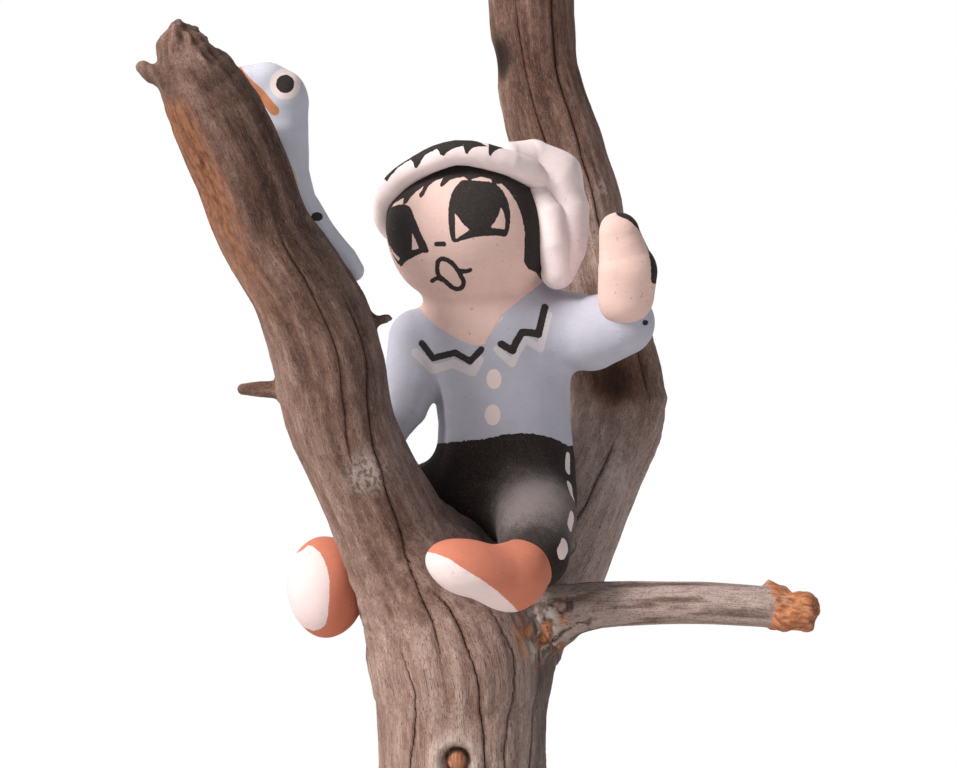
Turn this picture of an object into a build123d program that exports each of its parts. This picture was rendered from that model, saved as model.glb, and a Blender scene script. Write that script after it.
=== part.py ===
"""A clay boy astride a natural forked branch, with a clay bird clinging to the front limb.

Millimetres. +Z is up, -Y is the front. The origin is the middle of the felt's underside, where the piece rests.
The wood and the clay figures are placed from the fork, the point where the trunk divides.
"""

from build123d import *
import math
import os

# Base: a slice of log on felt, screwed to the branch from below.
SLAB_LENGTH = 128.0
SLAB_WIDTH = 106.0
SLAB_THICKNESS = 14.5
SLAB_EDGE_ROUND = 1.6
FELT_THICKNESS = 1.5
FELT_INSET = 5.0

SCREW_SHANK_RADIUS = 2.5
SCREW_HEAD_RADIUS = 4.6
SCREW_HEAD_HEIGHT = 3.2
SCREW_BITE = 30.0
SCREW_POINT = 5.0
SCREW_SLOT_WIDTH = 1.2
SCREW_SLOT_DEPTH = 1.3
SCREW_HOLE_CLEARANCE = 0.3
WASHER_RADIUS = 6.0
WASHER_THICKNESS = 1.0
COUNTERBORE_DEPTH = 5.5
COUNTERBORE_CLEARANCE = 0.8
DOWEL_RADIUS = 3.0
DOWEL_IN_SLAB = 8.0
DOWEL_IN_TRUNK = 12.0
DOWEL_OFFSET = 12.0

# Wood: lengths and the girth that each limb's taper is a share of.
TRUNK_HEIGHT = 83.0
TRUNK_RADIUS = 19.0
FRONT_LIMB_RADIUS = 11.2
REAR_LIMB_RADIUS = 10.2
SIDE_BRANCH_RADIUS = 4.7
SIDE_BRANCH_REACH = 56.0
TWIG_RADIUS = 1.5
TWIG_LENGTH = 9.0

# Clay boy.
HEAD_RADIUS = 17.2
HEAD_HEIGHT = 33.0
NECK_RADIUS = 11.0
SHOULDER_HALF_WIDTH = 17.0
WAIST_HALF_WIDTH = 14.8
TORSO_HALF_DEPTH = 11.6
TORSO_HEIGHT = 27.5
HIP_RADIUS = 16.0
HIP_HEIGHT = 29.5
SLEEVE_RADIUS = 4.6
RAISED_SLEEVE_RADIUS = 7.4
HAND_RADIUS = 6.3
RESTING_HAND_RADIUS = 3.6
THIGH_RADIUS = 8.3
SHIN_RADIUS = 5.8
SHOE_RADIUS = 6.2
HEADBAND_HEIGHT = 6.0
HEADBAND_THICKNESS = 2.6
KERCHIEF_ROLL_RADIUS = 4.4
SEAT_GAP = 5.5

# Clay bird.
BIRD_BODY_RADIUS = 5.0
BIRD_HEAD_RADIUS = 6.2
BEAK_LENGTH = 9.0
TAIL_LENGTH = 13.0
WING_THICKNESS = 1.6

CONTACT = 0.2  # left between pressed clay and wood
GLUE_LINE = 0.6  # adhesive under the bird

FELT_TOP = FELT_THICKNESS
SLAB_TOP = FELT_TOP + SLAB_THICKNESS
FORK = Vector(0, 0, SLAB_TOP + TRUNK_HEIGHT)

os.makedirs("parts", exist_ok=True)


def from_fork(x, y, z):
    """A point given from the fork."""
    return FORK + Vector(x, y, z)


def limb(radius, *stations):
    """Stations of a limb as (centre, radius), from (x, y, z, share of the limb's girth) counted from the fork."""
    return [(from_fork(x, y, z), share * radius) for x, y, z, share in stations]


def at_height(stations, height):
    """Centre, radius and direction of a limb at a height over the fork."""
    level = FORK.Z + height
    for (low, low_r), (high, high_r) in zip(stations, stations[1:]):
        if low.Z <= level <= high.Z:
            share = (level - low.Z) / (high.Z - low.Z)
            return low + (high - low) * share, low_r + (high_r - low_r) * share, (high - low).normalized()
    raise ValueError(f"no limb at {height}")


def beside(stations, height, bearing, stand_off):
    """A point that far outside a limb's surface, square to the limb. Bearing 0 is +X and 90 is +Y."""
    centre, radius, run = at_height(stations, height)
    turn = math.radians(bearing)
    towards = Vector(math.cos(turn), math.sin(turn), 0)
    return centre + (towards - run * run.dot(towards)).normalized() * (radius + stand_off)


def largest_only(made):
    """Drops the crumbs that trimming leaves."""
    for crumb in made.solids().sort_by(SortBy.VOLUME)[:-1]:
        add(crumb, mode=Mode.SUBTRACT)


def lofted(stations, steady):
    """A tapering limb through round sections. Steady is the direction that keeps the sections from twisting."""
    centres = [centre for centre, _ in stations]
    with BuildPart() as made:
        for i, (centre, radius) in enumerate(stations):
            before, after = centres[max(i - 1, 0)], centres[min(i + 1, len(centres) - 1)]
            run = (after - before).normalized()
            across = (steady - run * steady.dot(run)).normalized()
            with BuildSketch(Plane(origin=centre, x_dir=across, z_dir=run)):
                Circle(radius)
        loft(ruled=True)
    return made.part


def rolled(*stations):
    """A coil of clay through (centre, radius) stations, round at both ends and at each bend."""
    with BuildPart() as made:
        for (start, start_r), (end, end_r) in zip(stations, stations[1:]):
            run = end - start
            aside = Vector(0, 0, 1) if abs(run.normalized().Z) < 0.9 else Vector(1, 0, 0)
            lean = math.asin((start_r - end_r) / run.length)
            leaves = (start_r * math.sin(lean), start_r * math.cos(lean))
            meets = (run.length + end_r * math.sin(lean), end_r * math.cos(lean))
            early, late = (math.pi / 2 + lean) / 2, (math.pi / 2 - lean) / 2
            with BuildSketch(Plane(origin=start, x_dir=run, z_dir=run.cross(aside))):
                with BuildLine():
                    ThreePointArc((-start_r, 0), (-start_r * math.cos(early), start_r * math.sin(early)), leaves)
                    Line(leaves, meets)
                    far = (run.length + end_r * math.cos(late), end_r * math.sin(late))
                    ThreePointArc(meets, far, (run.length + end_r, 0))
                    Line((run.length + end_r, 0), (-start_r, 0))
                make_face()
            revolve(axis=Axis(start, run))
    return made.part


def ball(centre, half_x, half_y, half_z):
    """An ellipsoid of clay or glue."""
    return Pos(*centre) * scale(Sphere(1, mode=Mode.PRIVATE), by=(half_x, half_y, half_z), mode=Mode.PRIVATE)


def press_against(*neighbours):
    """Takes out of the part being made what its neighbours already fill."""
    for neighbour in neighbours:
        add(neighbour.part, mode=Mode.SUBTRACT)


def keep(made, name):
    made.part.label = name
    export_step(made.part, f"parts/{name}.step")


# ---------------------------------------------------------------- wood

TRUNK_PROFILE = (  # share of the height, share of the radius
    (0.0, 1.09),
    (0.16, 1.0),
    (0.53, 0.95),
    (0.75, 1.01),
    (1.0, 1.08),
)
FRONT_LIMB = limb(
    FRONT_LIMB_RADIUS,
    (-5.0, -3.0, -2, 1.36),
    (-10.3, -5.5, 6.5, 1.28),
    (-14.7, -8.0, 13, 1.12),
    (-18.8, -12.0, 22, 1.02),
    (-25.0, -18.5, 35, 0.99),
    (-28.4, -24.0, 48, 1.02),
    (-32.0, -30.0, 62, 0.97),
    (-40.5, -38.0, 78, 0.85),
    (-45.0, -43.5, 90, 0.86),
    (-49.5, -47.5, 101, 0.92),
    (-53.0, -50.8, 108, 0.74),
    (-55.0, -53.0, 114, 0.42),
    (-56.2, -54.0, 118, 0.12),
)
REAR_LIMB = limb(
    REAR_LIMB_RADIUS,
    (9.5, 6.5, -2, 1.0),
    (18.0, 12.5, 5, 1.02),
    (25.0, 20.5, 14, 0.99),
    (31.0, 29.5, 27, 0.97),
    (36.0, 37.0, 39, 1.02),
    (36.2, 39.5, 48, 0.98),
    (33.0, 41.0, 60, 0.97),
    (28.6, 43.0, 74, 0.99),
    (24.0, 44.5, 92, 1.02),
    (20.0, 45.0, 108, 1.02),
    (17.0, 45.0, 122, 0.97),
    (15.3, 45.0, 136, 0.98),
    (14.6, 45.5, 144, 0.70),
    (14.2, 46.0, 150, 0.25),
)
SIDE_BRANCH = [
    (from_fork(0, 0, -3) + Vector(7, -1.5, -2), 1.45 * SIDE_BRANCH_RADIUS),
    (from_fork(16, -4, -3), 1.35 * SIDE_BRANCH_RADIUS),
    (from_fork(22.5, -6.5, -2), 1.15 * SIDE_BRANCH_RADIUS),
    (from_fork(22.5 + 0.2 * SIDE_BRANCH_REACH, -10, -0.7), 1.03 * SIDE_BRANCH_RADIUS),
    (from_fork(22.5 + 0.5 * SIDE_BRANCH_REACH, -16, 0.6), 0.97 * SIDE_BRANCH_RADIUS),
    (from_fork(22.5 + 0.8 * SIDE_BRANCH_REACH, -22, 0), 0.9 * SIDE_BRANCH_RADIUS),
    (from_fork(22.5 + 0.92 * SIDE_BRANCH_REACH, -24.2, -0.7), 0.7 * SIDE_BRANCH_RADIUS),
]

with BuildPart() as base_screw:
    head_seat = FELT_TOP + COUNTERBORE_DEPTH - WASHER_THICKNESS
    with BuildSketch(Plane.XY.offset(head_seat - SCREW_HEAD_HEIGHT)):
        Circle(SCREW_HEAD_RADIUS)
    extrude(amount=SCREW_HEAD_HEIGHT)
    chamfer(base_screw.faces().sort_by(Axis.Z)[0].edges(), length=0.4)
    with BuildSketch(Plane.XY.offset(head_seat - SCREW_HEAD_HEIGHT)):
        Rectangle(2 * SCREW_HEAD_RADIUS, SCREW_SLOT_WIDTH)
    extrude(amount=SCREW_SLOT_DEPTH, mode=Mode.SUBTRACT)
    with BuildSketch(Plane.XY.offset(head_seat)):
        Circle(SCREW_SHANK_RADIUS)
    extrude(amount=SLAB_TOP + SCREW_BITE - SCREW_POINT - head_seat)
    with BuildSketch(Plane.XY.offset(SLAB_TOP + SCREW_BITE - SCREW_POINT)):
        Circle(SCREW_SHANK_RADIUS)
    extrude(amount=SCREW_POINT, taper=math.degrees(math.atan(0.9 * SCREW_SHANK_RADIUS / SCREW_POINT)))
keep(base_screw, "base_screw")

with BuildPart() as base_washer:
    with BuildSketch(Plane.XY.offset(head_seat)):
        Circle(WASHER_RADIUS)
        Circle(SCREW_SHANK_RADIUS + SCREW_HOLE_CLEARANCE, mode=Mode.SUBTRACT)
    extrude(amount=WASHER_THICKNESS)
keep(base_washer, "base_washer")

with BuildPart() as locating_dowel:
    with BuildSketch(Plane.XY.offset(SLAB_TOP - DOWEL_IN_SLAB)):
        with Locations((0, DOWEL_OFFSET)):
            Circle(DOWEL_RADIUS)
    extrude(amount=DOWEL_IN_SLAB + DOWEL_IN_TRUNK)
    chamfer(locating_dowel.edges().filter_by(GeomType.CIRCLE), length=0.5)
keep(locating_dowel, "locating_dowel")


def slice_outline(length, width):
    """The uneven oval of a log's slice."""
    bulges = (1.0, 0.97, 1.02, 0.98, 1.01, 0.96, 1.0, 0.98, 1.03, 0.97, 0.99, 0.98)
    step = 2 * math.pi / len(bulges)
    with BuildLine() as outline:
        Spline(
            *[
                (0.5 * length * b * math.cos(i * step), 0.5 * width * b * math.sin(i * step))
                for i, b in enumerate(bulges)
            ],
            periodic=True,
        )
    return outline.line


with BuildPart() as base_slab:
    with BuildSketch(Plane.XY.offset(FELT_TOP)):
        add(slice_outline(SLAB_LENGTH, SLAB_WIDTH))
        make_face()
    extrude(amount=SLAB_THICKNESS)
    fillet(base_slab.edges().group_by(Axis.Z)[-1], radius=SLAB_EDGE_ROUND)
    with Locations(Plane(origin=(0, 0, FELT_TOP), z_dir=(0, 0, -1))):
        CounterBoreHole(
            radius=SCREW_SHANK_RADIUS + SCREW_HOLE_CLEARANCE,
            counter_bore_radius=WASHER_RADIUS + COUNTERBORE_CLEARANCE,
            counter_bore_depth=COUNTERBORE_DEPTH,
        )
    press_against(locating_dowel)
keep(base_slab, "base_slab")

with BuildPart() as base_felt:
    with BuildSketch():
        add(slice_outline(SLAB_LENGTH - 2 * FELT_INSET, SLAB_WIDTH - 2 * FELT_INSET))
        make_face()
    extrude(amount=FELT_THICKNESS)
keep(base_felt, "base_felt")

with BuildPart() as trunk:
    with BuildSketch(Plane.XZ):
        rim = [(r * TRUNK_RADIUS, SLAB_TOP + h * TRUNK_HEIGHT) for h, r in TRUNK_PROFILE]
        with BuildLine():
            Spline(*rim)
            Polyline(rim[-1], (0, rim[-1][1]), (0, rim[0][1]), rim[0])
        make_face()
    revolve(axis=Axis.Z)
    press_against(base_screw, locating_dowel)
keep(trunk, "trunk")

with BuildPart() as front_limb:
    add(lofted(FRONT_LIMB, steady=Vector(0, 1, 0)))
    split(bisect_by=Plane.XY.offset(FORK.Z), keep=Keep.TOP)
    twig_root = beside(FRONT_LIMB, 45.2, 180, -3)
    twig_end = beside(FRONT_LIMB, 45.2, 180, TWIG_LENGTH)
    add(rolled((twig_root, 1.2 * TWIG_RADIUS), (twig_end, 0.7 * TWIG_RADIUS)))
    spur_root = beside(FRONT_LIMB, 106.5, 175, -2)
    spur_end = beside(FRONT_LIMB, 108, 175, 4)
    add(rolled((spur_root, 2.6), (spur_end, 1.0)))
    thorn_root = beside(FRONT_LIMB, 59.5, -8, -3)
    thorn_end = beside(FRONT_LIMB, 60.5, -8, 3)
    add(rolled((thorn_root, 1.8), (thorn_end, 0.5)))
keep(front_limb, "front_limb")

with BuildPart() as rear_limb:
    add(lofted(REAR_LIMB, steady=Vector(0, 1, 0)))
    split(bisect_by=Plane.XY.offset(FORK.Z), keep=Keep.TOP)
    stub_root = beside(REAR_LIMB, 41, -10, -4)
    stub_end = beside(REAR_LIMB, 42.5, -10, 1.5)
    add(rolled((stub_root, 2.2), (stub_end, 0.7)))
    press_against(front_limb)
keep(rear_limb, "rear_limb")

with BuildPart() as side_branch:
    add(lofted(SIDE_BRANCH, steady=Vector(0, 0, 1)))
    press_against(trunk, front_limb, rear_limb)
    largest_only(side_branch)
keep(side_branch, "side_branch")

# ---------------------------------------------------------------- clay boy

SEAT = from_fork(7.5, 6, SEAT_GAP)
HIPS = SEAT + Vector(0, 0, 0.62 * HIP_HEIGHT)
WAIST = SEAT + Vector(0.8, 0, HIP_HEIGHT)
SHOULDERS = WAIST + Vector(-1.2, -2.5, 0.82 * TORSO_HEIGHT)
COLLAR = WAIST + Vector(-2.5, -2.5, TORSO_HEIGHT)
HEAD = COLLAR + Vector(-6.2, -4, 0.58 * HEAD_HEIGHT)
HEAD_LEAN = Vector(-0.2, 0.42, 0.88).normalized()

with BuildPart() as hips:
    add(ball(HIPS, HIP_RADIUS, 0.86 * HIP_RADIUS, 0.62 * HIP_HEIGHT))
    split(bisect_by=Plane.XY.offset(WAIST.Z), keep=Keep.BOTTOM)
    press_against(trunk, front_limb, rear_limb)
    largest_only(hips)
keep(hips, "hips")

with BuildPart() as torso:
    levels = (
        (WAIST, WAIST_HALF_WIDTH, TORSO_HALF_DEPTH),
        (WAIST + Vector(-0.2, -0.6, 0.25 * TORSO_HEIGHT), 0.97 * WAIST_HALF_WIDTH, TORSO_HALF_DEPTH),
        (WAIST + Vector(-0.6, -1.6, 0.55 * TORSO_HEIGHT), 0.95 * SHOULDER_HALF_WIDTH, TORSO_HALF_DEPTH),
        (SHOULDERS, SHOULDER_HALF_WIDTH, 0.9 * TORSO_HALF_DEPTH),
        (COLLAR, 0.6 * SHOULDER_HALF_WIDTH, 0.6 * TORSO_HALF_DEPTH),
    )
    for level, half_width, half_depth in levels:
        with BuildSketch(Plane.XY.offset(level.Z)):
            with Locations((level.X, level.Y)):
                Ellipse(half_width, half_depth)
    loft()
    press_against(front_limb, rear_limb)
keep(torso, "torso")

with BuildPart() as head:
    with BuildSketch(Plane(origin=HEAD, x_dir=HEAD_LEAN, z_dir=HEAD_LEAN.cross(Vector(0, 1, 0)))):
        half = 0.5 * HEAD_HEIGHT
        with BuildLine():
            Spline(
                (-half, 0),
                (-0.62 * half, 0.74 * HEAD_RADIUS),
                (0.1 * half, HEAD_RADIUS),
                (0.72 * half, 0.75 * HEAD_RADIUS),
                (half, 0),
                tangents=((0, 1), (0, -1)),
            )
            Line((half, 0), (-half, 0))
        make_face()
    revolve(axis=Axis(HEAD, HEAD_LEAN))
    press_against(torso)
keep(head, "head")

with BuildPart() as neck:
    add(rolled((COLLAR + Vector(0, 0, -4), NECK_RADIUS), (HEAD + Vector(3, 2, -8), 1.1 * NECK_RADIUS)))
    press_against(torso, head)
    largest_only(neck)
keep(neck, "neck")

BAND_UP = Vector(-0.15, 0.45, 0.88).normalized()
BAND_CENTRE = HEAD + BAND_UP * (0.27 * HEAD_HEIGHT)
KNOT = HEAD + Vector(0.95 * HEAD_RADIUS, 1.5, 0.28 * HEAD_HEIGHT)

with BuildPart() as headband:
    band_plane = Plane(origin=BAND_CENTRE - BAND_UP * (0.5 * HEADBAND_HEIGHT), z_dir=BAND_UP)
    with BuildSketch(band_plane):
        Circle(0.88 * HEAD_RADIUS + HEADBAND_THICKNESS)
    extrude(amount=HEADBAND_HEIGHT)
    fillet(headband.edges().filter_by(GeomType.CIRCLE), radius=0.45 * HEADBAND_THICKNESS)
    press_against(head)
keep(headband, "headband")

with BuildPart() as kerchief_knot:
    add(
        rolled(
            (KNOT + Vector(-3.5, 0.5, 4), KERCHIEF_ROLL_RADIUS),
            (KNOT + Vector(4.5, 1, -2), 1.25 * KERCHIEF_ROLL_RADIUS),
            (KNOT + Vector(6, 0, -16.5), 0.75 * KERCHIEF_ROLL_RADIUS),
        )
    )
    press_against(headband, head, torso)
    largest_only(kerchief_knot)
keep(kerchief_knot, "kerchief_knot")

with BuildPart() as kerchief_tail:
    add(
        rolled(
            (KNOT + Vector(1.5, -4.5, -3.5), 0.9 * KERCHIEF_ROLL_RADIUS),
            (KNOT + Vector(4, -5, -15), 0.75 * KERCHIEF_ROLL_RADIUS),
            (KNOT + Vector(5, -4.5, -20.5), 0.5 * KERCHIEF_ROLL_RADIUS),
        )
    )
    press_against(kerchief_knot, headband, head, torso, neck)
    largest_only(kerchief_tail)
keep(kerchief_tail, "kerchief_tail")

RIGHT_WRIST = beside(FRONT_LIMB, 38, 45, SLEEVE_RADIUS + CONTACT)
RIGHT_HAND = beside(FRONT_LIMB, 32, 52, 0.95 * RESTING_HAND_RADIUS)
RIGHT_SHOULDER = SHOULDERS + Vector(-1.02 * SHOULDER_HALF_WIDTH, 0.5, 0.5)

with BuildPart() as sleeve_right:
    elbow = RIGHT_SHOULDER + (RIGHT_WRIST - RIGHT_SHOULDER) * 0.55 + Vector(-1.5, 1.5, 0)
    add(
        rolled(
            (RIGHT_SHOULDER, 1.2 * SLEEVE_RADIUS),
            (elbow, SLEEVE_RADIUS),
            (RIGHT_WRIST, 0.9 * SLEEVE_RADIUS),
        )
    )
    press_against(torso, front_limb, hips)
keep(sleeve_right, "sleeve_right")

with BuildPart() as hand_right:
    add(rolled((RIGHT_WRIST + Vector(0, 0, -1), 0.8 * RESTING_HAND_RADIUS), (RIGHT_HAND, RESTING_HAND_RADIUS)))
    press_against(sleeve_right, front_limb, hips, torso)
keep(hand_right, "hand_right")

LEFT_SHOULDER = SHOULDERS + Vector(0.82 * SHOULDER_HALF_WIDTH, -1.5, 5)
LEFT_ELBOW = LEFT_SHOULDER + Vector(10.6, -8, -4.5)
LEFT_WRIST = LEFT_ELBOW + Vector(4, -6, 3)

with BuildPart() as sleeve_left:
    add(
        rolled(
            (LEFT_SHOULDER, 1.05 * RAISED_SLEEVE_RADIUS),
            (LEFT_ELBOW, RAISED_SLEEVE_RADIUS),
            (LEFT_WRIST, 0.85 * RAISED_SLEEVE_RADIUS),
        )
    )
    press_against(torso, rear_limb, head, neck, kerchief_knot, kerchief_tail)
keep(sleeve_left, "sleeve_left")

with BuildPart() as hand_left:
    add(
        rolled(
            (LEFT_WRIST + Vector(-0.5, -1.5, 4), HAND_RADIUS),
            (LEFT_WRIST + Vector(-1.5, -2.5, 17.5), 0.62 * HAND_RADIUS),
        )
    )
    press_against(sleeve_left, kerchief_knot, kerchief_tail, rear_limb)
keep(hand_left, "hand_left")

RIGHT_KNEE = beside(FRONT_LIMB, 16, 84, 0.82 * THIGH_RADIUS + CONTACT)
RIGHT_ANKLE = beside(FRONT_LIMB, 6, 140, SHIN_RADIUS + CONTACT)
RIGHT_SHOE = beside(FRONT_LIMB, 9, 172, SHOE_RADIUS + CONTACT)

with BuildPart() as leg_right:
    add(
        rolled(
            (HIPS + Vector(-7, 4, -1.5), THIGH_RADIUS),
            (RIGHT_KNEE, 0.82 * THIGH_RADIUS),
            (RIGHT_ANKLE, SHIN_RADIUS),
        )
    )
    press_against(trunk, front_limb, rear_limb, hips, torso)
keep(leg_right, "leg_right")

with BuildPart() as shoe_right:
    add(
        rolled(
            (RIGHT_SHOE + Vector(-0.5, -1, -4.2), 1.05 * SHOE_RADIUS),
            (RIGHT_SHOE + Vector(-0.5, -1, 4.8), 1.0 * SHOE_RADIUS),
        )
    )
    press_against(leg_right, trunk, front_limb)
keep(shoe_right, "shoe_right")

LEFT_KNEE = HIPS + Vector(8.5, -13, -2)
LEFT_ANKLE = from_fork(16.5, -18.5, 11)
LEFT_HEEL = from_fork(13, -24.5, 6)
LEFT_TOE = from_fork(-2.5, -28, 11.5)

with BuildPart() as leg_left:
    add(
        rolled(
            (HIPS + Vector(6.5, -2, -1.5), THIGH_RADIUS),
            (LEFT_KNEE, THIGH_RADIUS),
            (LEFT_ANKLE, SHIN_RADIUS),
        )
    )
    press_against(trunk, front_limb, rear_limb, side_branch, hips, torso)
keep(leg_left, "leg_left")

with BuildPart() as shoe_left:
    add(rolled((LEFT_HEEL, SHOE_RADIUS), (LEFT_TOE, 0.75 * SHOE_RADIUS)))
    press_against(leg_left, trunk, front_limb, side_branch)
keep(shoe_left, "shoe_left")

with BuildPart() as seat_glue:
    add(ball(SEAT + Vector(-2, -1, -0.5), 0.55 * HIP_RADIUS, 0.5 * HIP_RADIUS, SEAT_GAP))
    press_against(hips, leg_right, leg_left, trunk, front_limb, rear_limb, side_branch)
    largest_only(seat_glue)
keep(seat_glue, "seat_glue")

# ---------------------------------------------------------------- clay bird

BIRD_BEARING = 50
BIRD_HEIGHT = 84
BIRD_NECK = beside(FRONT_LIMB, BIRD_HEIGHT + 9, BIRD_BEARING, BIRD_BODY_RADIUS + GLUE_LINE)
BIRD_BELLY = beside(FRONT_LIMB, BIRD_HEIGHT, BIRD_BEARING, BIRD_BODY_RADIUS + GLUE_LINE)
BIRD_RUMP = beside(FRONT_LIMB, BIRD_HEIGHT - 9, BIRD_BEARING, 0.86 * BIRD_BODY_RADIUS + GLUE_LINE)
BIRD_HEAD = BIRD_NECK + Vector(-1.2, 0.5, 6.5)

with BuildPart() as bird_body:
    add(
        rolled(
            (BIRD_NECK, 0.95 * BIRD_BODY_RADIUS),
            (BIRD_BELLY, BIRD_BODY_RADIUS),
            (BIRD_RUMP, 0.85 * BIRD_BODY_RADIUS),
        )
    )
    press_against(front_limb)
keep(bird_body, "bird_body")

with BuildPart() as bird_head:
    add(ball(BIRD_HEAD, 1.1 * BIRD_HEAD_RADIUS, 0.85 * BIRD_HEAD_RADIUS, 0.9 * BIRD_HEAD_RADIUS))
    press_against(bird_body, front_limb)
keep(bird_head, "bird_head")

with BuildPart() as bird_beak:
    beak_root = BIRD_HEAD + Vector(-0.85 * BIRD_HEAD_RADIUS, 1, 0.5)
    add(rolled((beak_root, 2.8), (beak_root + Vector(-BEAK_LENGTH, 1.5, 1.5), 0.9)))
    press_against(bird_head, front_limb)
keep(bird_beak, "bird_beak")

with BuildPart() as bird_tail:
    tail_run = Vector(0.55, 0.12, -0.82).normalized()
    add(
        rolled(
            (BIRD_RUMP + tail_run * 2, 0.7 * BIRD_BODY_RADIUS),
            (BIRD_RUMP + tail_run * TAIL_LENGTH, 0.5 * BIRD_BODY_RADIUS),
        )
    )
    press_against(bird_body, front_limb)
keep(bird_tail, "bird_tail")

BIRD_OUT = (BIRD_BELLY - at_height(FRONT_LIMB, BIRD_HEIGHT)[0]).normalized()
BIRD_SIDE = Vector(-BIRD_OUT.Y, BIRD_OUT.X, 0)


def wing(side):
    """A folded wing laid along the bird's flank. Side is 1 for its right and -1 for its left."""
    root = BIRD_BELLY + BIRD_SIDE * (side * 0.78 * BIRD_BODY_RADIUS) + BIRD_OUT * (0.3 * BIRD_BODY_RADIUS)
    with BuildPart() as made:
        add(rolled((root + Vector(0, 0, 5), 0.42 * BIRD_BODY_RADIUS), (root - Vector(0, 0, 6), WING_THICKNESS)))
        press_against(bird_body, bird_head, bird_tail, front_limb)
    return made


with BuildPart() as bird_wing_right:
    add(wing(1).part)
keep(bird_wing_right, "bird_wing_right")

with BuildPart() as bird_wing_left:
    add(wing(-1).part)
keep(bird_wing_left, "bird_wing_left")

with BuildPart() as bird_glue:
    middle = beside(FRONT_LIMB, BIRD_HEIGHT, BIRD_BEARING, 0.5 * GLUE_LINE)
    add(ball(middle, 0.6 * BIRD_BODY_RADIUS, 0.6 * BIRD_BODY_RADIUS, 1.2 * BIRD_BODY_RADIUS))
    press_against(bird_body, front_limb, bird_wing_right, bird_wing_left)
    largest_only(bird_glue)
keep(bird_glue, "bird_glue")
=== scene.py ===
"""The clay boy and bird on their branch: meshes, paint, wood and studio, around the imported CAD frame.

Every form is a distance field in the frame's own millimetres (negative inside), turned into a closed mesh.
Paint and wood grain are worked out at each vertex and kept as attributes, which the materials read.
"""

import math
from itertools import product

import bpy
import numpy as np
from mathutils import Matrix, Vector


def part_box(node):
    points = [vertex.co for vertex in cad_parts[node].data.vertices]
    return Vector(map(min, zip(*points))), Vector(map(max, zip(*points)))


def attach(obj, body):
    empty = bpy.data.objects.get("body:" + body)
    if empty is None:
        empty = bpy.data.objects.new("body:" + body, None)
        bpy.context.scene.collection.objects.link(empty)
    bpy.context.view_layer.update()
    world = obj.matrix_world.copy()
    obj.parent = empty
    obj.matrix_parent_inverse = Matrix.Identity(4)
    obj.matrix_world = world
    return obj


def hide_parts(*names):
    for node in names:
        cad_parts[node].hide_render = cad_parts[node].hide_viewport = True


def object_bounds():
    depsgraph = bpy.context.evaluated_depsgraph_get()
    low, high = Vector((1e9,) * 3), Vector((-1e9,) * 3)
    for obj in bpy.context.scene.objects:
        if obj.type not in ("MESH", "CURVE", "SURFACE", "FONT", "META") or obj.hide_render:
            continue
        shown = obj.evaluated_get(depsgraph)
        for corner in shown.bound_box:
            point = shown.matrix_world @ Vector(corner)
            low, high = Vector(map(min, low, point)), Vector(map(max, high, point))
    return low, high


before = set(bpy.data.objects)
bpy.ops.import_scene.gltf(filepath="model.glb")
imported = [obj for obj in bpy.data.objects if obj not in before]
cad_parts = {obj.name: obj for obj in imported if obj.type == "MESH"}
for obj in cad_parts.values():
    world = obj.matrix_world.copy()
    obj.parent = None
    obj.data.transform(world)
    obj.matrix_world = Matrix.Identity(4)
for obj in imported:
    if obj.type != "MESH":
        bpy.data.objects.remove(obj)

MM = 0.001
CAD_BOX = [[float(c) for c in corner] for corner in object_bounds()]


def cad_box(node):
    """Lowest and highest corner of a CAD node, in millimetres."""
    low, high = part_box(node)
    return np.array(low) / MM, np.array(high) / MM


SLAB_LOW, SLAB_HIGH = cad_box("base_slab")

# The studio camera: level, square to the front, at the distance where the trunk is drawn true to size.
VIEW_CENTRE_X = 2.9
VIEW_CENTRE_Z = 146.5
VIEW_DISTANCE = 520.0
VIEW_WIDTH = 210.8


# ---------------------------------------------------------------- noise

NOISE_TABLE = np.random.default_rng(11).random((32, 32, 32)).astype(np.float32) * 2 - 1


def noise(points, seed=0.0):
    """Smooth lattice noise between -1 and 1; neighbouring bumps are about one unit apart."""
    moved = points + np.float32(seed * 7.31)
    cell = np.floor(moved).astype(np.int32)
    share = moved - cell
    share = share * share * (3 - 2 * share)
    total = np.zeros(len(points), np.float32)
    for corner in product((0, 1), repeat=3):
        index = (cell + corner) & 31
        weight = np.prod(np.where(corner, share, 1 - share), axis=1)
        total += weight * NOISE_TABLE[index[:, 0], index[:, 1], index[:, 2]]
    return total


def layered_noise(points, seed=0.0, layers=3):
    total = 0
    for layer in range(layers):
        total = total + noise(points * 2.03**layer, seed + layer) * 0.55**layer
    return total


# ---------------------------------------------------------------- distance fields

def vec(*values):
    return np.array(values, np.float32)


def smooth_union(a, b, reach):
    """Union of two fields with a fillet about that many millimetres across."""
    h = np.maximum(reach - np.abs(a - b), 0) / reach
    return np.minimum(a, b) - h * h * reach * 0.25


def join(reach, *fields):
    total = fields[0]
    for field in fields[1:]:
        total = smooth_union(total, field, reach)
    return total


def ball(p, centre, radii, lean=0.0):
    """An ellipsoid, leant by that many degrees towards +X at its top."""
    q = p - vec(*centre)
    if lean:
        turn = math.radians(lean)
        across = q[:, 0] * math.cos(turn) - q[:, 2] * math.sin(turn)
        along = q[:, 0] * math.sin(turn) + q[:, 2] * math.cos(turn)
        q = np.stack([across, q[:, 1], along], axis=1)
    radii = vec(*radii)
    near = np.linalg.norm(q / radii, axis=1)
    steep = np.linalg.norm(q / (radii * radii), axis=1)
    return near * (near - 1) / np.maximum(steep, 1e-6)


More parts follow.
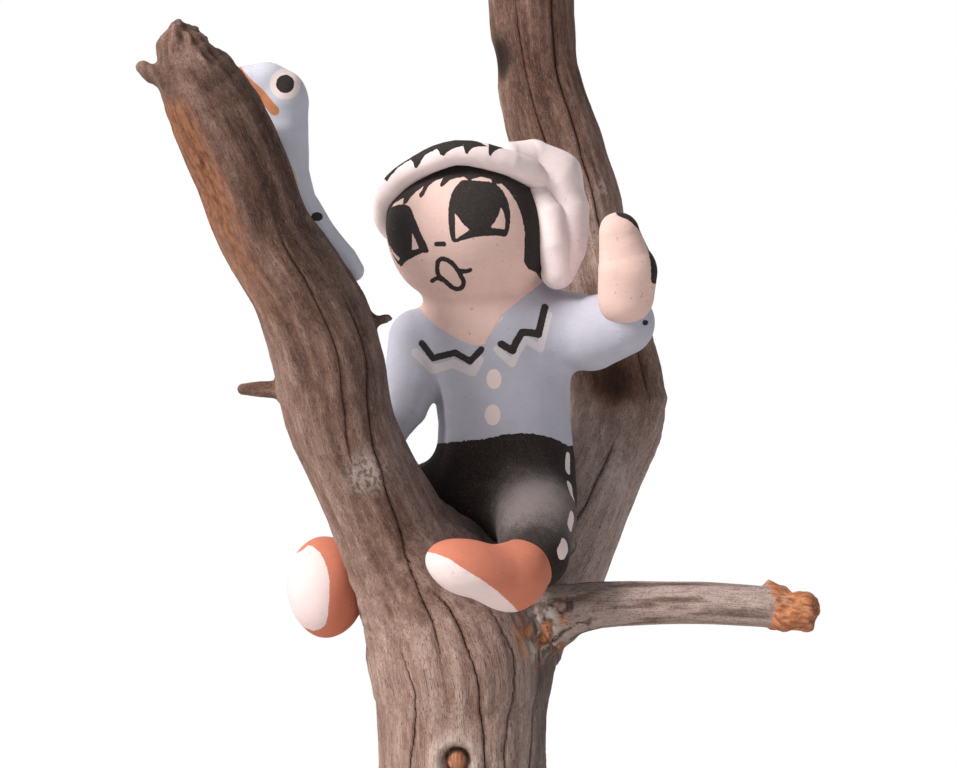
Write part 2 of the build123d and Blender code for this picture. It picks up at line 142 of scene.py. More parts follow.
def roll(p, *stations, squash=(1, 1, 1)):
    """A coil through (x, y, z, radius) stations. Squash above 1 thins it along that axis."""
    squash = vec(*squash)
    q = p * squash
    best = np.full(len(p), 1e3, np.float32)
    for start, end in zip(stations, stations[1:]):
        a = vec(*start[:3]) * squash
        run = vec(*end[:3]) * squash - a
        share = np.clip((q - a) @ run / (run @ run), 0, 1)
        gap = np.linalg.norm(q - a - share[:, None] * run, axis=1)
        best = np.minimum(best, gap - (start[3] + share * (end[3] - start[3])))
    return best


def between(a, b, c, d, t):
    """The point at share t of a smooth curve's stretch from b to c, with a before it and d after it."""
    bend = (2 * a - 5 * b + 4 * c - d) * t * t + (3 * b - a - 3 * c + d) * t**3
    return 0.5 * (2 * b + (c - a) * t + bend)


def rounded(stations, step):
    """Stations closed up along a smooth curve, about step apart."""
    s = np.array(stations, np.float32)
    s = np.vstack([2 * s[0] - s[1], s, 2 * s[-1] - s[-2]])
    made = []
    for a, b, c, d in zip(s, s[1:], s[2:], s[3:]):
        count = max(2, round(float(np.linalg.norm((c - b)[:3])) / step))
        made += [between(a, b, c, d, t) for t in np.arange(count) / count]
    return np.array(made + [s[-2]], np.float32)


FRAME_STEP = 1.5


class Limb:
    """A tapering limb with its own lengthwise and crosswise coordinates."""

    def __init__(self, *stations, step=5.0, across=(1, 0, 0)):
        line = rounded(stations, step)
        self.points, self.radii = line[:, :3], line[:, 3]
        runs = np.diff(self.points, axis=0)
        self.lengths = np.linalg.norm(runs, axis=1)
        self.runs = runs / self.lengths[:, None]
        fine_line = rounded(stations, FRAME_STEP)
        self.frames = fine_line[:, :3], fine_line[:, 3]
        self.across = vec(*across)

    def field(self, p):
        centre = p.mean(axis=0)
        spread = float(np.linalg.norm(p - centre, axis=1).max())
        middles = (self.points[1:] + self.points[:-1]) / 2
        reach = spread + self.lengths / 2 + np.maximum(self.radii[1:], self.radii[:-1]) + 8
        gaps = np.linalg.norm(middles - centre, axis=1) - reach
        near = np.flatnonzero(gaps < 0)
        if not len(near):
            return np.full(len(p), float(gaps.min()) + 8, np.float32)
        best = np.full(len(p), 1e3, np.float32)
        for i in near:
            along = np.clip((p - self.points[i]) @ self.runs[i], 0, self.lengths[i])
            gap = np.linalg.norm(p - self.points[i] - along[:, None] * self.runs[i], axis=1)
            share = along / self.lengths[i]
            best = np.minimum(best, gap - self.radii[i] - share * (self.radii[i + 1] - self.radii[i]))
        return best

    def coordinates(self, p):
        """Field, lengthwise distance, the two crosswise offsets and the bearing round the limb in degrees."""
        points, radii = self.frames
        steps = np.diff(points, axis=0)
        lengths = np.linalg.norm(steps, axis=1)
        runs = steps / lengths[:, None]
        reached = np.concatenate([[0], np.cumsum(lengths)])
        side, sides = self.across, []
        for k in range(len(points)):
            run = runs[min(k, len(runs) - 1)] + runs[max(k - 1, 0)]
            run = run / np.linalg.norm(run)
            side = side - run * (side @ run)
            side = side / np.linalg.norm(side)
            sides.append((side, np.cross(run, side)))
        sides = np.array(sides, np.float32)
        best = np.full(len(p), 1e3, np.float32)
        out = np.zeros((4, len(p)), np.float32)
        for i, run in enumerate(runs):
            offset = p - points[i]
            share = np.clip(offset @ run / lengths[i], 0, 1)
            aside = offset - (share * lengths[i])[:, None] * run
            gap = np.linalg.norm(aside, axis=1) - radii[i] - share * (radii[i + 1] - radii[i])
            nearer = gap < best
            best = np.where(nearer, gap, best)
            u = aside @ sides[i][0] * (1 - share) + aside @ sides[i + 1][0] * share
            v = aside @ sides[i][1] * (1 - share) + aside @ sides[i + 1][1] * share
            values = (reached[i] + share * lengths[i], u, v, np.degrees(np.arctan2(v, u)))
            out = np.where(nearer, np.array(values), out)
        return (best, *out)


# ---------------------------------------------------------------- from field to mesh

BLOCK = 12


def sample(field, low, cell, counts):
    """Field values on a lattice, worked out only in the blocks that the surface can pass through."""
    values = np.empty(counts, np.float32)
    half_diagonal = BLOCK * cell * math.sqrt(3) / 2
    for corner in product(*(range(0, n, BLOCK) for n in counts)):
        part = tuple(slice(c, min(c + BLOCK, n)) for c, n in zip(corner, counts))
        middle = low + (np.array(corner) + BLOCK / 2) * cell
        there = float(field(middle[None].astype(np.float32))[0])
        if abs(there) > 1.35 * half_diagonal + 1.0:
            values[part] = there
            continue
        axes = [low[k] + np.arange(s.start, s.stop) * cell for k, s in enumerate(part)]
        grid = np.stack(np.meshgrid(*axes, indexing="ij"), axis=-1).astype(np.float32)
        values[part] = field(grid.reshape(-1, 3)).reshape(grid.shape[:3])
    return values


def surface(values, low, cell):
    """Surface nets: a vertex in each lattice cell that is crossed, and a quad round each crossed edge."""
    inside = values < 0
    size = [n - 1 for n in values.shape]

    def shifted(a, corner):
        return a[tuple(slice(c, c + n) for c, n in zip(corner, size))]

    count = sum(shifted(inside, c).astype(np.uint8) for c in product((0, 1), repeat=3))
    cells = np.argwhere((count > 0) & (count < 8))
    number = np.full(size, -1, np.int32)
    number[tuple(cells.T)] = np.arange(len(cells))
    total, crossings = np.zeros((len(cells), 3)), np.zeros(len(cells))
    for axis in range(3):
        others = [k for k in range(3) if k != axis]
        for pair in product((0, 1), repeat=2):
            start = np.zeros(3, int)
            start[others] = pair
            end = start.copy()
            end[axis] = 1
            a = values[tuple((cells + start).T)]
            b = values[tuple((cells + end).T)]
            crossed = (a < 0) != (b < 0)
            share = np.where(crossed, a / np.where(crossed, a - b, 1), 0)
            total += crossed[:, None] * (start + share[:, None] * (end - start))
            crossings += crossed
    vertices = low + (cells + total / crossings[:, None]) * cell

    quads = []
    for axis in range(3):
        b, c = (axis + 1) % 3, (axis + 2) % 3
        first = [slice(1, n) for n in size]
        first[axis] = slice(0, size[axis])
        second = list(first)
        second[axis] = slice(1, size[axis] + 1)
        here, there = inside[tuple(first)], inside[tuple(second)]
        edges = np.argwhere(here != there)
        leaving = here[tuple(edges.T)]
        edges[:, b] += 1
        edges[:, c] += 1
        ring = []
        for db, dc in ((-1, -1), (0, -1), (0, 0), (-1, 0)):
            around = edges.copy()
            around[:, b] += db
            around[:, c] += dc
            ring.append(number[tuple(around.T)])
        ring = np.stack(ring, axis=1)
        quads.append(np.where(leaving[:, None], ring, ring[:, ::-1]))
    return vertices.astype(np.float32), np.concatenate(quads)


def gradient(field, p, step=0.05):
    sides = [field(p + vec(*(step * (k == i) for k in range(3)))) for i in range(3)]
    back = [field(p - vec(*(step * (k == i) for k in range(3)))) for i in range(3)]
    return np.stack([a - b for a, b in zip(sides, back)], axis=1) / (2 * step)


def settle(field, p, limit):
    """Moves vertices onto the field's surface, none further than the limit."""
    slope = gradient(field, p)
    move = -field(p)[:, None] * slope / np.maximum((slope * slope).sum(axis=1), 0.25)[:, None]
    size = np.linalg.norm(move, axis=1)[:, None]
    return p + move * np.minimum(1, limit / np.maximum(size, 1e-9))


def form(field, low, high, cell):
    """Vertices and quads of field = 0 between two corners."""
    low = np.array(low, float) - 2 * cell
    counts = tuple(int(n) for n in np.ceil((np.array(high, float) + 2 * cell - low) / cell) + 1)
    vertices, quads = surface(sample(field, low, cell, counts), low, cell)
    return settle(field, vertices, 0.4 * cell), quads


def normals(vertices, quads):
    a, b, c, d = (vertices[quads[:, k]] for k in range(4))
    facing = np.cross(c - a, d - b)
    total = np.zeros_like(vertices)
    for k in range(4):
        np.add.at(total, quads[:, k], facing)
    return total / np.maximum(np.linalg.norm(total, axis=1), 1e-9)[:, None]


def build(name, vertices, quads, material, attributes=(), sharp=None):
    """Makes the piece from millimetre vertices, with float or vector attributes at its vertices."""
    mesh = bpy.data.meshes.new(name)
    mesh.vertices.add(len(vertices))
    mesh.vertices.foreach_set("co", (vertices * MM).astype(np.float32).ravel())
    mesh.loops.add(quads.size)
    mesh.loops.foreach_set("vertex_index", quads.astype(np.int32).ravel())
    mesh.polygons.add(len(quads))
    mesh.polygons.foreach_set("loop_start", np.arange(0, quads.size, 4, dtype=np.int32))
    mesh.update(calc_edges=True)
    mesh.polygons.foreach_set("use_smooth", np.ones(len(quads), bool))
    for label, values in dict(attributes).items():
        values = np.asarray(values, np.float32)
        if values.ndim == 2:
            mesh.attributes.new(label, "FLOAT_VECTOR", "POINT").data.foreach_set("vector", values.ravel())
        else:
            mesh.attributes.new(label, "FLOAT", "POINT").data.foreach_set("value", values)
    if sharp:
        mesh.set_sharp_from_angle(angle=math.radians(sharp))
    mesh.materials.append(material)
    piece = bpy.data.objects.new(name, mesh)
    bpy.context.scene.collection.objects.link(piece)
    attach(piece, "root")
    return piece


# ---------------------------------------------------------------- painted outlines

def front_view(p):
    """Where points appear across and up as seen from the front, in millimetres at the trunk's depth."""
    share = VIEW_DISTANCE / (p[:, 1] + VIEW_DISTANCE)
    across = VIEW_CENTRE_X + (p[:, 0] - VIEW_CENTRE_X) * share
    up = VIEW_CENTRE_Z + (p[:, 2] - VIEW_CENTRE_Z) * share
    return np.stack([across, up], axis=1)


def stroke(p, points, half_width):
    """Distance from a painted line, negative inside it."""
    best = np.full(len(p), 1e3)
    for a, b in zip(points, points[1:]):
        a, run = np.array(a, float), np.subtract(b, a)
        share = np.clip((p - a) @ run / max(run @ run, 1e-9), 0, 1)
        best = np.minimum(best, np.linalg.norm(p - a - share[:, None] * run, axis=1))
    return best - half_width


def patch(p, points):
    """Distance from a painted outline, negative inside it."""
    inside = np.zeros(len(p), bool)
    closed = [*points, points[0]]
    for (x0, y0), (x1, y1) in zip(closed, closed[1:]):
        if y0 != y1:
            spans = (p[:, 1] < y0) != (p[:, 1] < y1)
            inside ^= spans & (p[:, 0] < x0 + (p[:, 1] - y0) / (y1 - y0) * (x1 - x0))
    return stroke(p, closed, 0) * np.where(inside, -1, 1)


def curve(*points, closed=False, steps=4):
    """A smooth line through points."""
    p = np.array(points, float)
    if closed:
        p = np.vstack([p[-1], p, p[0], p[1]])
    else:
        p = np.vstack([2 * p[0] - p[1], p, 2 * p[-1] - p[-2]])
    made = []
    for a, b, c, d in zip(p, p[1:], p[2:], p[3:]):
        made += [between(a, b, c, d, t) for t in np.arange(steps) / steps]
    return made if closed else made + [p[-2]]


# ---------------------------------------------------------------- materials

def srgb(red, green, blue):
    """Linear colour from the 0 to 255 values a paint chart gives."""
    def linear(c):
        c /= 255
        return c / 12.92 if c <= 0.04045 else ((c + 0.055) / 1.055) ** 2.4
    return (linear(red), linear(green), linear(blue), 1)


class Nodes:
    """Short hand for building a node tree."""

    def __init__(self, name):
        self.material = bpy.data.materials.new(name)
        self.material.use_nodes = True
        self.tree = self.material.node_tree
        self.tree.nodes.clear()

    def add(self, kind, inputs=None, **settings):
        node = self.tree.nodes.new(kind)
        for key, value in settings.items():
            setattr(node, key, value)
        for key, value in (inputs or {}).items():
            if isinstance(value, bpy.types.NodeSocket):
                self.tree.links.new(value, node.inputs[key])
            else:
                node.inputs[key].default_value = value
        return node

    def attribute(self, name, vector=False):
        node = self.add("ShaderNodeAttribute", attribute_name=name)
        return node.outputs["Vector" if vector else "Fac"]

    def math(self, operation, a, b=0.0, clamp=False):
        return self.add("ShaderNodeMath", {0: a, 1: b}, operation=operation, use_clamp=clamp).outputs[0]

    def place(self, scale, vector=None):
        """Coordinates in metres, or an attribute's, scaled."""
        if vector is None:
            vector = self.add("ShaderNodeTexCoord").outputs["Object"]
        if not isinstance(scale, tuple):
            scale = (scale,) * 3
        return self.add("ShaderNodeMapping", {"Vector": vector, "Scale": scale}).outputs[0]

    def noise(self, vector, detail=3.0, roughness=0.55):
        inputs = {"Vector": vector, "Scale": 1.0, "Detail": detail, "Roughness": roughness}
        return self.add("ShaderNodeTexNoise", inputs).outputs["Fac"]

    def ramp(self, value, low, high, start=0.0, end=1.0):
        """Value from low..high to start..end, smoothly."""
        inputs = {"Value": value, "From Min": low, "From Max": high, "To Min": start, "To Max": end}
        node = self.add("ShaderNodeMapRange", inputs, interpolation_type="SMOOTHSTEP")
        return node.outputs["Result"]

    def mix(self, share, a, b, blend="MIX"):
        node = self.add("ShaderNodeMix", data_type="RGBA", blend_type=blend)
        for socket, value in ((node.inputs[0], share), (node.inputs[6], a), (node.inputs[7], b)):
            if isinstance(value, bpy.types.NodeSocket):
                self.tree.links.new(value, socket)
            else:
                socket.default_value = value
        return node.outputs[2]

    def bump(self, height, distance, strength=1.0, under=None):
        inputs = {"Height": height, "Distance": distance, "Strength": strength}
        if under is not None:
            inputs["Normal"] = under
        return self.add("ShaderNodeBump", inputs).outputs[0]

    def finish(self, **inputs):
        named = {key.replace("_", " "): value for key, value in inputs.items()}
        shader = self.add("ShaderNodeBsdfPrincipled", named)
        self.add("ShaderNodeOutputMaterial", {"Surface": shader.outputs[0]})
        return self.material


DARK_PAINT = 0.1  # a paint whose brightest channel is below this shows its specks and wear more


def shade(colour, share, lift=0.0):
    """The same colour darker or lighter, with no channel above 1."""
    return tuple(min(1, c * share + lift) for c in colour[:3]) + (1,)


def clay_paint(name, base, layers=(), worn=0.35, dust_and_highlight=None):
    """Matt slip brushed on fired clay.

    Layers are (attribute, colour), painted where the attribute is negative. The dust colour is rubbed in
    where the
    attribute of that name is low: partly dust, partly a painted highlight where the light falls on the
    trousers' knee.
    """
    n = Nodes(name)
    fine = n.noise(n.place(5200), detail=2, roughness=0.7)
    broad = n.noise(n.place(160), detail=3)
    brush = n.noise(n.place((420, 420, 2600)), detail=3, roughness=0.6)
    wobble = n.noise(n.place(1700), detail=2)
    colour = n.mix(n.ramp(broad, 0.3, 0.7, 0, 0.22), base, shade(base, 0.72))
    colour = n.mix(n.ramp(brush, 0.45, 0.75, 0, 0.20), colour, shade(base, 1.25))
    if max(base[:3]) < DARK_PAINT:
        colour = n.mix(n.ramp(fine, 0.50, 0.78, 0, 0.45), colour, srgb(120, 108, 104))
    if dust_and_highlight:
        # Dust and a painted highlight: a lighter grey rubbed in where the dust attribute is low.
        drift = n.noise(n.place(330), detail=4)
        cloud = n.math("ADD", n.math("MULTIPLY", fine, 1.4), n.math("MULTIPLY", drift, 0.4))
        dust_and_highlight_mask = n.math("ADD", n.attribute("dust_and_highlight"), n.math("SUBTRACT", cloud, 0.9))
        colour = n.mix(n.ramp(dust_and_highlight_mask, 0.0, 0.80, 0.74, 0), colour, dust_and_highlight)
    edge = n.math("MULTIPLY", n.math("SUBTRACT", wobble, 0.5), 0.32)
    for attribute, paint in layers:
        shape = n.math("ADD", n.attribute(attribute), edge)
        mask = n.ramp(shape, -0.05, 0.07, 1, 0)
        speck = n.ramp(fine, 0.50, 0.72, 0, 0.42 if max(paint[:3]) < DARK_PAINT else 0.15)
        colour = n.mix(mask, colour, n.mix(speck, paint, shade(paint, 2.2, 0.06)))
    pits = n.ramp(n.noise(n.place(950), detail=1), 0.70, 0.77, 0, worn)
    colour = n.mix(pits, colour, srgb(120, 84, 68))
    grain = n.bump(fine, 0.00004, 0.7)
    strokes = n.bump(brush, 0.00008, 0.6, grain)
    lumps = n.bump(n.noise(n.place(260), detail=2), 0.0005, 0.35, strokes)
    return n.finish(Base_Color=colour, Roughness=0.86, Specular_IOR_Level=0.22, Normal=lumps)


def weathered_wood():
    """Dry grey-brown wood. Its grain follows the limb; the other attributes are painted at the vertices."""
    n = Nodes("weathered_wood")
    grain = n.attribute("grain", vector=True)
    bands = n.noise(n.place((0.34, 0.34, 0.022), grain), detail=6, roughness=0.62)
    fibre = n.noise(n.place((3.4, 3.4, 0.16), grain), detail=5, roughness=0.68)
    threads = n.noise(n.place((10.0, 10.0, 0.6), grain), detail=4, roughness=0.75)
    blotch = n.noise(n.place((0.55, 0.55, 0.24), grain), detail=7, roughness=0.72)
    specks = n.noise(n.place((4.6, 4.6, 2.4), grain), detail=3, roughness=0.75)
    # The tone attribute carries painted shade too: darker on the trunk's right side and in the low parts of
    # the relief.
    tone = n.math("ADD", n.attribute("tone"), n.math("MULTIPLY", n.math("SUBTRACT", blotch, 0.5), 1.15))
    tone = n.math("ADD", tone, n.math("MULTIPLY", n.math("SUBTRACT", bands, 0.5), 0.9))
    ramp = n.add("ShaderNodeValToRGB", {"Fac": tone})
    stops = ramp.color_ramp.elements
    stops[0].position, stops[0].color = 0.0, srgb(72, 50, 42)
    stops[1].position, stops[1].color = 1.0, srgb(196, 168, 156)
    middle_tones = ((0.3, srgb(112, 84, 72)), (0.55, srgb(147, 117, 104)), (0.78, srgb(172, 143, 131)))
    for position, chip in middle_tones:
        stops.new(position).color = chip
    colour = ramp.outputs["Color"]
    # Grey of the weathered wood, and on the trunk's right side grey painted shade.
    silver_and_shade_grey = n.mix(tone, srgb(84, 74, 70), srgb(178, 168, 164))
    colour = n.mix(n.ramp(n.attribute("grey"), 0.0, 1.0, 0, 0.75), colour, silver_and_shade_grey)
    warmth = n.noise(n.place((0.8, 0.8, 0.30), grain), detail=7, roughness=0.78)
    colour = n.mix(n.ramp(warmth, 0.48, 0.66, 0, 0.42), colour, srgb(140, 94, 70))
    colour = n.mix(n.ramp(fibre, 0.50, 0.66, 0, 0.50), colour, srgb(84, 60, 50))
    colour = n.mix(n.ramp(threads, 0.53, 0.68, 0, 0.42), colour, srgb(206, 184, 174))
    colour = n.mix(n.ramp(threads, 0.47, 0.34, 0, 0.45), colour, srgb(74, 52, 44))
    colour = n.mix(n.ramp(specks, 0.54, 0.64, 0, 0.75), colour, srgb(58, 40, 34))
    patchy = n.noise(n.place((0.7, 0.7, 0.12), grain), detail=6, roughness=0.7)
    bare = n.math("MULTIPLY", n.attribute("bare"), n.ramp(patchy, 0.32, 0.52), True)
    shreds = n.noise(n.place((1.4, 1.4, 0.6), grain), 5)
    fresh = n.mix(n.ramp(shreds, 0.3, 0.7), srgb(150, 88, 56), srgb(214, 148, 106))
    colour = n.mix(bare, colour, fresh)
    flakes = n.noise(n.place((1.1, 1.1, 0.8), grain), 4)
    pale = n.math("MULTIPLY", n.attribute("pale"), n.ramp(flakes, 0.38, 0.60), True)
    colour = n.mix(pale, colour, srgb(196, 184, 178))
    crack = n.math("MULTIPLY", n.math("SQRT", n.math("ABSOLUTE", n.attribute("crack"))), 1.15)
    crack = n.math("ADD", crack, n.math("MULTIPLY", n.math("SUBTRACT", threads, 0.5), 0.5))
    colour = n.mix(n.ramp(crack, 0.9, 4.5, 0.5, 0), colour, srgb(84, 50, 38))
    colour = n.mix(n.ramp(crack, 0.55, 1.15, 1, 0), colour, srgb(38, 24, 19))
    # The dark attribute: painted shade in the hollows and the knot's ring, and the dark strip and seam on the
    # bare wood.
    colour = n.mix(n.ramp(n.attribute("dark"), 0.0, 1.0, 0, 0.9), colour, srgb(40, 27, 22))
    relief = n.bump(threads, 0.00022, 0.7)
    relief = n.bump(fibre, 0.0005, 0.65, relief)
    relief = n.bump(specks, 0.0003, 0.4, relief)
    relief = n.bump(n.ramp(crack, 0.4, 1.3), 0.0007, 0.8, relief)
    return n.finish(Base_Color=colour, Roughness=0.88, Specular_IOR_Level=0.25, Normal=relief)


def slab_wood():
    """Sanded end grain: rings round an off-centre pith, drying checks, and bark on the rim."""
    n = Nodes("slab_wood")
    place = n.add("ShaderNodeTexCoord").outputs["Object"]
    drift = n.noise(n.place((22, 22, 5)), detail=3)
    centred = n.add("ShaderNodeVectorMath", {0: place, 1: (0.009, 0.006, 0)}, operation="SUBTRACT").outputs[0]
    flat = n.add("ShaderNodeMapping", {"Vector": centred, "Scale": (1.0, 1.22, 0.0)}).outputs[0]
    out = n.add("ShaderNodeVectorMath", {0: flat}, operation="LENGTH").outputs["Value"]
    wandering = n.math("ADD", out, n.math("MULTIPLY", drift, 0.006))
    ring = n.math("FRACT", n.math("MULTIPLY", wandering, 520))
    late = n.ramp(ring, 0.55, 0.95)
    colour = n.mix(n.noise(n.place(60)), srgb(196, 156, 112), srgb(172, 128, 86))
    colour = n.mix(n.math("MULTIPLY", late, 0.55), colour, srgb(122, 82, 50))
    colour = n.mix(n.ramp(out, 0.008, 0.03, 0.45, 0), colour, srgb(118, 74, 44))
    pores = n.noise(n.place((2600, 2600, 300)), 2)
    colour = n.mix(n.ramp(pores, 0.55, 0.7, 0, 0.35), colour, srgb(104, 70, 44))
    bark_noise = n.noise(n.place((420, 420, 130)), detail=5, roughness=0.65)
    bark = n.mix(bark_noise, srgb(50, 36, 29), srgb(128, 104, 88))
    inner = n.ramp(n.attribute("rim"), -2.4, -1.9)
    colour = n.mix(inner, colour, srgb(112, 66, 40))
    colour = n.mix(n.ramp(n.attribute("rim"), -1.5, -0.9), colour, bark)
    checks = n.ramp(n.attribute("check"), 0.15, 0.45, 1, 0)
    colour = n.mix(checks, colour, srgb(52, 34, 24))
    relief = n.bump(late, 0.00008, 0.5)
    relief = n.bump(n.math("MULTIPLY", bark_noise, inner), 0.0009, 0.9, relief)
    return n.finish(Base_Color=colour, Roughness=0.72, Specular_IOR_Level=0.3, Normal=relief)


def plain_finish(name, light, dark, scale, roughness, metallic=0.0, depth=0.00005):
    """A finish for the small hidden hardware: two colours through a fine noise, with its own relief."""
    n = Nodes(name)
    mottle = n.noise(n.place(scale), detail=4)
    colour = n.mix(mottle, dark, light)
    relief = n.bump(n.noise(n.place(scale), detail=5), depth, 0.5)
    return n.finish(Base_Color=colour, Roughness=roughness, Metallic=metallic, Normal=relief)


# ---------------------------------------------------------------- the branch

TRUNK = Limb(
    (-0.4, 0, 8, 21.6),
    (-0.4, 0, 19, 20.6),
    (-0.4, 0, 32, 19.2),
    (-0.4, 0, 47, 18.5),
    (-0.4, 0, 62, 18.3),
    (-0.5, 0, 77, 19.2),
    (-1.2, -0.7, 88, 20.4),
    (-5.2, -3, 99.3, 17.8),
    (-14.2, -8, 112.2, 12.9),
    (-18.6, -12, 121.6, 11.5),
    (-24.6, -18, 134.6, 11.1),
    (-26.9, -21.5, 141.5, 11.3),
    (-29.3, -27, 155.7, 11.4),
    (-34.6, -33, 167.9, 10.3),
    (-40.6, -38, 177.9, 9.5),
    (-44.6, -43, 189.3, 9.5),
    (-49.3, -47, 199.7, 9.3),
    (-52.2, -49.5, 205.5, 8.0),
    (-54.6, -51.5, 210.0, 5.7),
    (-55.8, -52.6, 214.0, 3.6),
    (-56.6, -53, 217.6, 0.9),
)
REAR_LIMB = Limb(
    (0, 0, 74, 9.0),
    (7.5, 5, 88.6, 11.3),
    (17.7, 12, 100.1, 10.6),
    (24.8, 20, 113.1, 10.1),
    (31.0, 30, 126.5, 10.0),
    (34.8, 36, 136.9, 11.2),
    (35.6, 38, 143.9, 11.3),
    (33.2, 40, 156.9, 10.8),
    (29.7, 42, 171.2, 10.0),
    (26.4, 44, 188.0, 10.4),
    (23.0, 45, 199.0, 10.6),
    (19.8, 45, 209.6, 10.6),
    (17.0, 45, 220.8, 9.8),
    (15.5, 45, 233.5, 10.1),
    (15.0, 45.0, 242.0, 9.8),
    (14.9, 45.2, 249.0, 7.6),
)
SIDE_BRANCH = Limb(
    (3, -1, 92.5, 6.5),
    (14.0, -4, 95.8, 6.9),
    (22.0, -7, 97.2, 5.7),
    (28.6, -9, 98.7, 5.0),
    (37.9, -12, 99.4, 4.7),
    (49.1, -16, 99.9, 4.5),
    (60.2, -20, 99.8, 4.4),
    (66.5, -22.4, 99.3, 4.3),
    (71.4, -24.0, 98.4, 3.9),
    (75.0, -25.2, 97.6, 2.6),
    step=4.0,
    across=(0, 1, 0),
)
TWIG = Limb(
    (-31, -22.0, 144.4, 2.8),
    (-37.5, -22.6, 145.2, 2.0),
    (-43, -23.4, 145.4, 1.7),
    (-46.6, -24, 145.4, 1.2),
    step=3.0,
    across=(0, 0, 1),
)
ON_TRUNK, ON_SIDE_BRANCH = 0, 2  # their places among the limbs in make_branch
SPUR = ((-57.0, -51, 207.5, 3.0), (-61.5, -52, 208.2, 1.8), (-64.0, -52.2, 209.2, 1.0))
TIP_LUMP = ((-55.5, -51, 209.5, 4.6), (-58.4, -52, 212.6, 2.4))
THORN = ((-20.4, -27, 159.2, 2.0), (-17.4, -27, 159.9, 0.9), (-15.6, -27, 160.3, 0.3))
REAR_STUB = ((30, 29.0, 139.6, 1.6), (37, 28.4, 141.4, 2.6), (43.6, 32, 142.8, 2.2), (46.8, 35, 143.2, 0.6))
SIDE_COLLAR = (17.5, -5.0, 95.2)
KNOT = (-1.9, -19.2, 66.4)
ROT_HOLLOW = (34.5, 28.0, 147.5)
REAR_HOLLOW = (7.5, 41.5, 224.0)
TORN_JOINT = (17.0, -13.5, 92.5)
PALE_SPOTS = (
    # centre, reach in millimetres, strength
    ((-20.0, -28.5, 127.0), 7.0, 1.4),
    ((28.0, 36.5, 229), 3.2, 1.8),
    ((30.5, 38, 220), 3.2, 1.8),
    ((33.0, 34, 193), 3.2, 1.8),
    ((32.5, 20.5, 124.6), 6.5, 1.2),
)


def branch(p):
    wood = smooth_union(TRUNK.field(p), REAR_LIMB.field(p), 5.0)
    wood = smooth_union(wood, SIDE_BRANCH.field(p), 3.5)
    wood = smooth_union(wood, TWIG.field(p), 2.0)
    for stub, reach in ((SPUR, 2.0), (TIP_LUMP, 2.0), (THORN, 1.5), (REAR_STUB, 2.0)):
        wood = smooth_union(wood, roll(p, *stub), reach)
    wood = smooth_union(wood, ball(p, SIDE_COLLAR, (6.5, 7.0, 7.5)), 3.0)
    return np.maximum(wood, broken_ends(p))


def broken_ends(p):
    """Cuts the foot flat on the slab, and the rear limb and side branch off in splinters."""
    foot = SLAB_HIGH[2] - 0.3 - p[:, 2]
    rear = np.where(p[:, 1] > 25, p[:, 2] - 246.8 - 1.8 * noise(p * vec(0.8, 0.8, 0.05), 3), -9)
    side_cut = (p[:, 0] - 73.2) * 0.94 - (p[:, 1] + 24) * 0.3 - 0.9 * noise(p * vec(0.1, 0.6, 0.6), 5)
    side = np.where(p[:, 0] > 60, side_cut, -9)
    return np.maximum(np.maximum(foot, rear), side).astype(np.float32)


CRACKS = (
    # limb, half width, (distance along the limb, bearing round it) from one end to the other
    (TRUNK, 0.23, ((170, -44), (150, -52), (137, -63), (127, -70), (111, -80), (97, -91), (88, -98),
                   (80, -101))),
    (TRUNK, 0.25, ((98, -82), (91.5, -80), (83, -82), (72, -80), (64.5, -76.5), (57, -74.5), (40, -74),
                   (16, -71))),
    (TRUNK, 0.22, ((86, -127), (83, -125), (77.5, -119.5), (70, -122), (63, -126.5), (56, -129), (30, -131))),
    (TRUNK, 0.14, ((90, -59), (80, -55.5), (70.5, -61), (57, -62), (25, -64))),
    (TRUNK, 0.19, ((82, -24), (80, -27), (73, -38), (64, -42), (55.5, -43), (34, -45))),
    (TRUNK, 0.17, ((190, -72), (165, -78), (146, -84), (133, -96))),
    (TRUNK, 0.22, ((150, 20), (120, 12), (96, 30), (60, 34), (20, 30))),
    (TRUNK, 0.25, ((92, 74), (60, 80), (12, 88))),
    (TRUNK, 0.19, ((178, 100), (140, 112), (100, 122), (55, 132), (18, 126))),
    (TRUNK, 0.17, ((74, 168), (45, 172), (14, 165))),
    (TRUNK, 0.17, ((205, 160), (180, 150), (150, 158))),
    (REAR_LIMB, 0.25, ((200, -62), (165, -70), (130, -74), (100, -60), (84, -52))),
    (REAR_LIMB, 0.22, ((75, -84), (55, -88), (34, -96))),
    (REAR_LIMB, 0.19, ((188, -118), (150, -112), (118, -120))),
    (REAR_LIMB, 0.19, ((195, 60), (140, 70), (90, 62), (40, 80))),
    (REAR_LIMB, 0.19, ((180, 140), (120, 150), (60, 138))),
    (SIDE_BRANCH, 0.13, ((70, -60), (45, -66), (22, -58))),
    (SIDE_BRANCH, 0.12, ((62, 20), (30, 28))),
)


def crack_ratio(coordinates):
    """Signed distance from the nearest crack as a share of its half width, squared with its sign kept."""
    best = None
    for limb, half_width, path in CRACKS:
        field, along, u, v, bearing = coordinates[limb]
        path = sorted(path)
        stations = np.array([s for s, _ in path], float)
        angle = np.interp(along, stations, [a for _, a in path])
        wander = 2.2 * noise(np.stack([along / 6, along * 0, along * 0], axis=1), half_width * 40)
        turned = (bearing - angle - wander + 180) % 360 - 180
        gap = np.radians(turned) * np.hypot(u, v)
        taper = np.clip(np.minimum(along - stations[0], stations[-1] - along) / 8, 0.0, 1.0)
        ratio = gap / np.maximum(half_width * taper, 1e-3)
        ratio = np.where(field < 2.5, ratio, 1e3)
        best = ratio if best is None else np.where(np.abs(ratio) < np.abs(best), ratio, best)
    return np.sign(best) * np.minimum(best * best, 1000)


def near(p, centre, reach):
    """1 at a centre, falling to 0 at a reach."""
    return np.clip(1 - np.linalg.norm(p - vec(*centre), axis=1) / reach, 0, 1)


